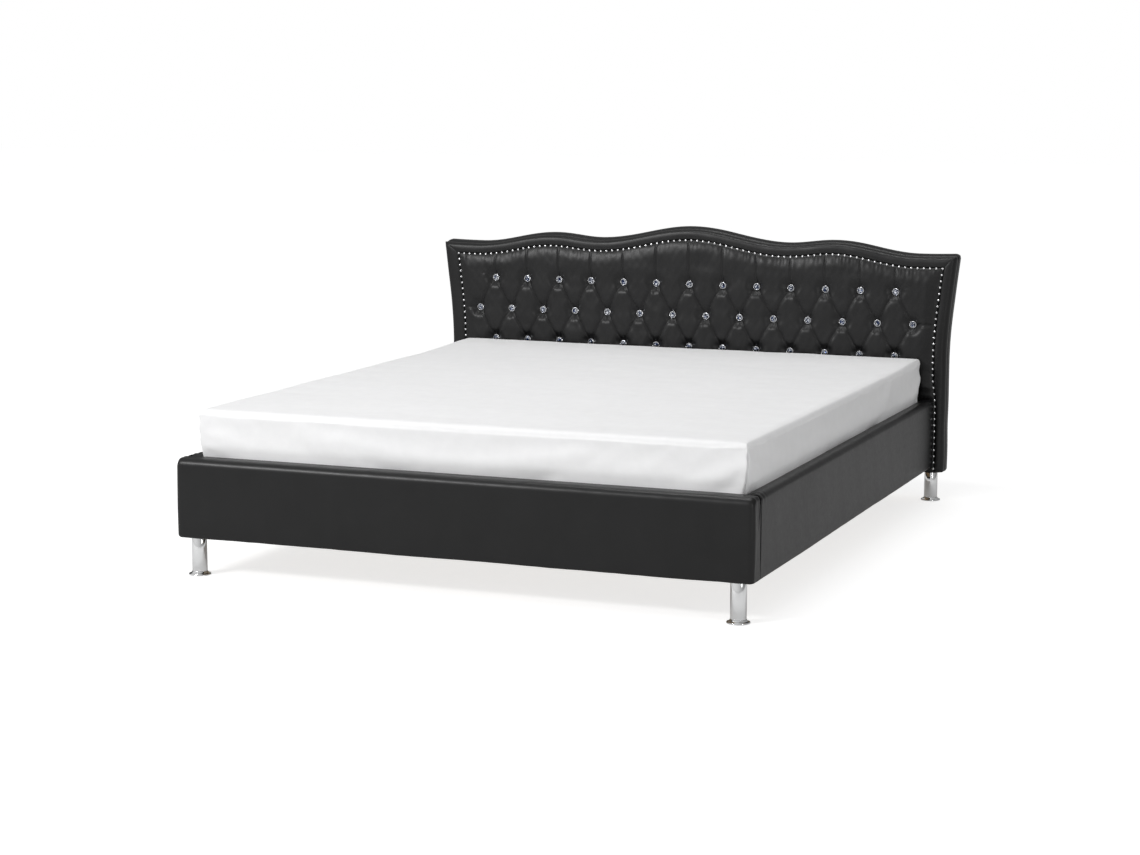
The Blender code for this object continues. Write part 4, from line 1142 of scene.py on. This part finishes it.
# ---- Everything else keeps its CAD shape, with a finish and eased edges ----
def dress(name, finish, ease_width):
    """Gives a CAD piece its finish and eases its sharp edges."""
    made = nodes[name]
    made.data.materials.clear()
    made.data.materials.append(finish)
    rounded = made.modifiers.new("eased edges", "BEVEL")
    rounded.width = ease_width
    rounded.segments = 2
    rounded.limit_method = "ANGLE"
    rounded.angle_limit = math.radians(40)


KEPT = (
    (("rail_board", "slat_ledge", "centre_beam"), PINE_Y, 0.0012),
    (("slat_roll", "headboard_bottom_rail", "footboard_core"), PINE_X, 0.0008),
    (("headboard_post",), PINE_Z, 0.0012),
    (("headboard_board",), PLYWOOD, 0.0006),
    (("corner_bracket", "beam_bracket"), BLACK_STEEL, 0.0005),
    (("leg_bolt", "corner_bolt"), ZINC, 0.0003))


def carried_over():
    """Finishes the CAD pieces that show as they are."""
    for name in sorted(nodes):
        for starts, finish, ease_width in KEPT:
            if name.startswith(starts):
                dress(name, finish, ease_width)


# ---- Build ----
tufted_panel()
tufting_pad()
border("padded_border_top", 0)
border("padded_border_left", -1)
border("padded_border_right", 1)
for word, places in zip(("top", "left", "right"), nail_lines()):
    nails("nailheads_" + word, places, "nail_strip_" + word)
for number, places in enumerate(button_places(), 1):
    crystals(number, places)
footboard()
side_rail("left", -1)
side_rail("right", 1)
sheet = fitted_sheet(mattress())
legs()
centre_supports()
lining = back_lining()
carried_over()


# ---- Stage, light and camera ----
FLOOR_HALF, FLOOR_BELOW = 30, 0.0155  # the floor's mesh lies below its own origin
FLOOR_GREY = 0.60
FLOOR_GLOW, FLOOR_SEEN = 0.15, 0.72  # emission as the bed sees it, and as the camera does
WHITE = (1, 1, 1, 1)
LEVEL, LEAN = 0.44, (-0.19, -0.16, 0.07)  # fill light: its level, and how it leans
DARK_SIDE = (-0.80, 0.60, 0.0)  # direction of the one dark band of the surroundings
DARK_BAND = {"From Min": 0.80, "From Max": 0.93, "To Min": 1.0, "To Max": 0.08}


def stage():
    """A plain pale floor."""
    verts = [(x * FLOOR_HALF, y * FLOOR_HALF, -FLOOR_BELOW)
             for x, y in ((-1, -1), (1, -1), (1, 1), (-1, 1))]
    mesh = bpy.data.meshes.new("studio_floor")
    mesh.from_pydata(verts, [], [(0, 1, 2, 3)])
    floor = bpy.data.objects.new("studio_floor", mesh)
    floor.location.z = FLOOR_BELOW
    finish = material("studio_floor", (FLOOR_GREY,) * 3, 0.9)
    shader = shader_of(finish)
    shader.inputs["Emission Color"].default_value = WHITE
    shader.inputs["Specular IOR Level"].default_value = 0.1
    link = finish.node_tree.links.new
    path = node(finish, "ShaderNodeLightPath")
    glow = node(finish, "ShaderNodeMapRange", **{"To Min": FLOOR_GLOW, "To Max": FLOOR_SEEN})
    link(path.outputs["Is Camera Ray"], glow.inputs["Value"])
    link(glow.outputs["Result"], shader.inputs["Emission Strength"])
    mesh.materials.append(finish)
    scene.collection.objects.link(floor)


def world():
    """Pale fill light with one dark band for the leather to mirror; plain white when seen."""
    made = bpy.data.worlds.new("studio")
    made.use_nodes = True
    made.node_tree.nodes.clear()
    link = made.node_tree.links.new
    seen = node(made, "ShaderNodeBackground", Color=WHITE, Strength=1.0)
    fill = node(made, "ShaderNodeBackground", Color=WHITE)
    where = node(made, "ShaderNodeTexCoord").outputs["Generated"]
    lean = node(made, "ShaderNodeVectorMath", operation="DOT_PRODUCT")
    lean.inputs[1].default_value = LEAN
    level = node(made, "ShaderNodeMath", operation="ADD")
    level.inputs[1].default_value = LEVEL
    band = node(made, "ShaderNodeVectorMath", operation="DOT_PRODUCT")
    band.inputs[1].default_value = DARK_SIDE
    dark = node(made, "ShaderNodeMapRange", interpolation_type="SMOOTHSTEP", **DARK_BAND)
    shaded = node(made, "ShaderNodeMath", operation="MULTIPLY")
    mix = node(made, "ShaderNodeMixShader")
    path = node(made, "ShaderNodeLightPath")
    out = node(made, "ShaderNodeOutputWorld")
    link(where, lean.inputs[0])
    link(where, band.inputs[0])
    link(lean.outputs["Value"], level.inputs[0])
    link(band.outputs["Value"], dark.inputs["Value"])
    link(level.outputs["Value"], shaded.inputs[0])
    link(dark.outputs["Result"], shaded.inputs[1])
    link(shaded.outputs["Value"], fill.inputs["Strength"])
    link(path.outputs["Is Camera Ray"], mix.inputs["Fac"])
    link(fill.outputs["Background"], mix.inputs[1])
    link(seen.outputs["Background"], mix.inputs[2])
    link(mix.outputs["Shader"], out.inputs["Surface"])
    scene.world = made


def lamp(name, location, target, size, power):
    """A rectangular lamp aimed at a point."""
    data = bpy.data.lights.new(name, "AREA")
    data.shape = "RECTANGLE"
    data.size, data.size_y = size
    data.energy = power
    made = bpy.data.objects.new(name, data)
    made.location = location
    made.rotation_euler = (Vector(target) - Vector(location)).to_track_quat("-Z", "Y").to_euler()
    scene.collection.objects.link(made)


def camera():
    """The photograph's viewpoint, solved from the bed's own edges."""
    data = bpy.data.cameras.new("camera")
    data.lens = 75.95
    data.sensor_width = 36.0
    data.clip_end = 100
    made = bpy.data.objects.new("camera", data)
    made.location = (2.958, -7.509, 1.600)
    made.rotation_euler = (math.radians(90 - 8.707), 0, math.radians(21.948))
    scene.collection.objects.link(made)
    scene.camera = made


scene.view_settings.view_transform = "Standard"
stage()
world()
lamp("key", (-3.2, -5.0, 3.6), (0, 0.2, 0.5), (2.0, 0.7), 165)
lamp("top", (0.0, -0.4, 4.5), (0, 0.4, 0), (2.2, 0.7), 45)
lamp("right", (4.6, -3.4, 1.3), (0.9, -0.6, 0.3), (0.5, 1.6), 22)
camera()
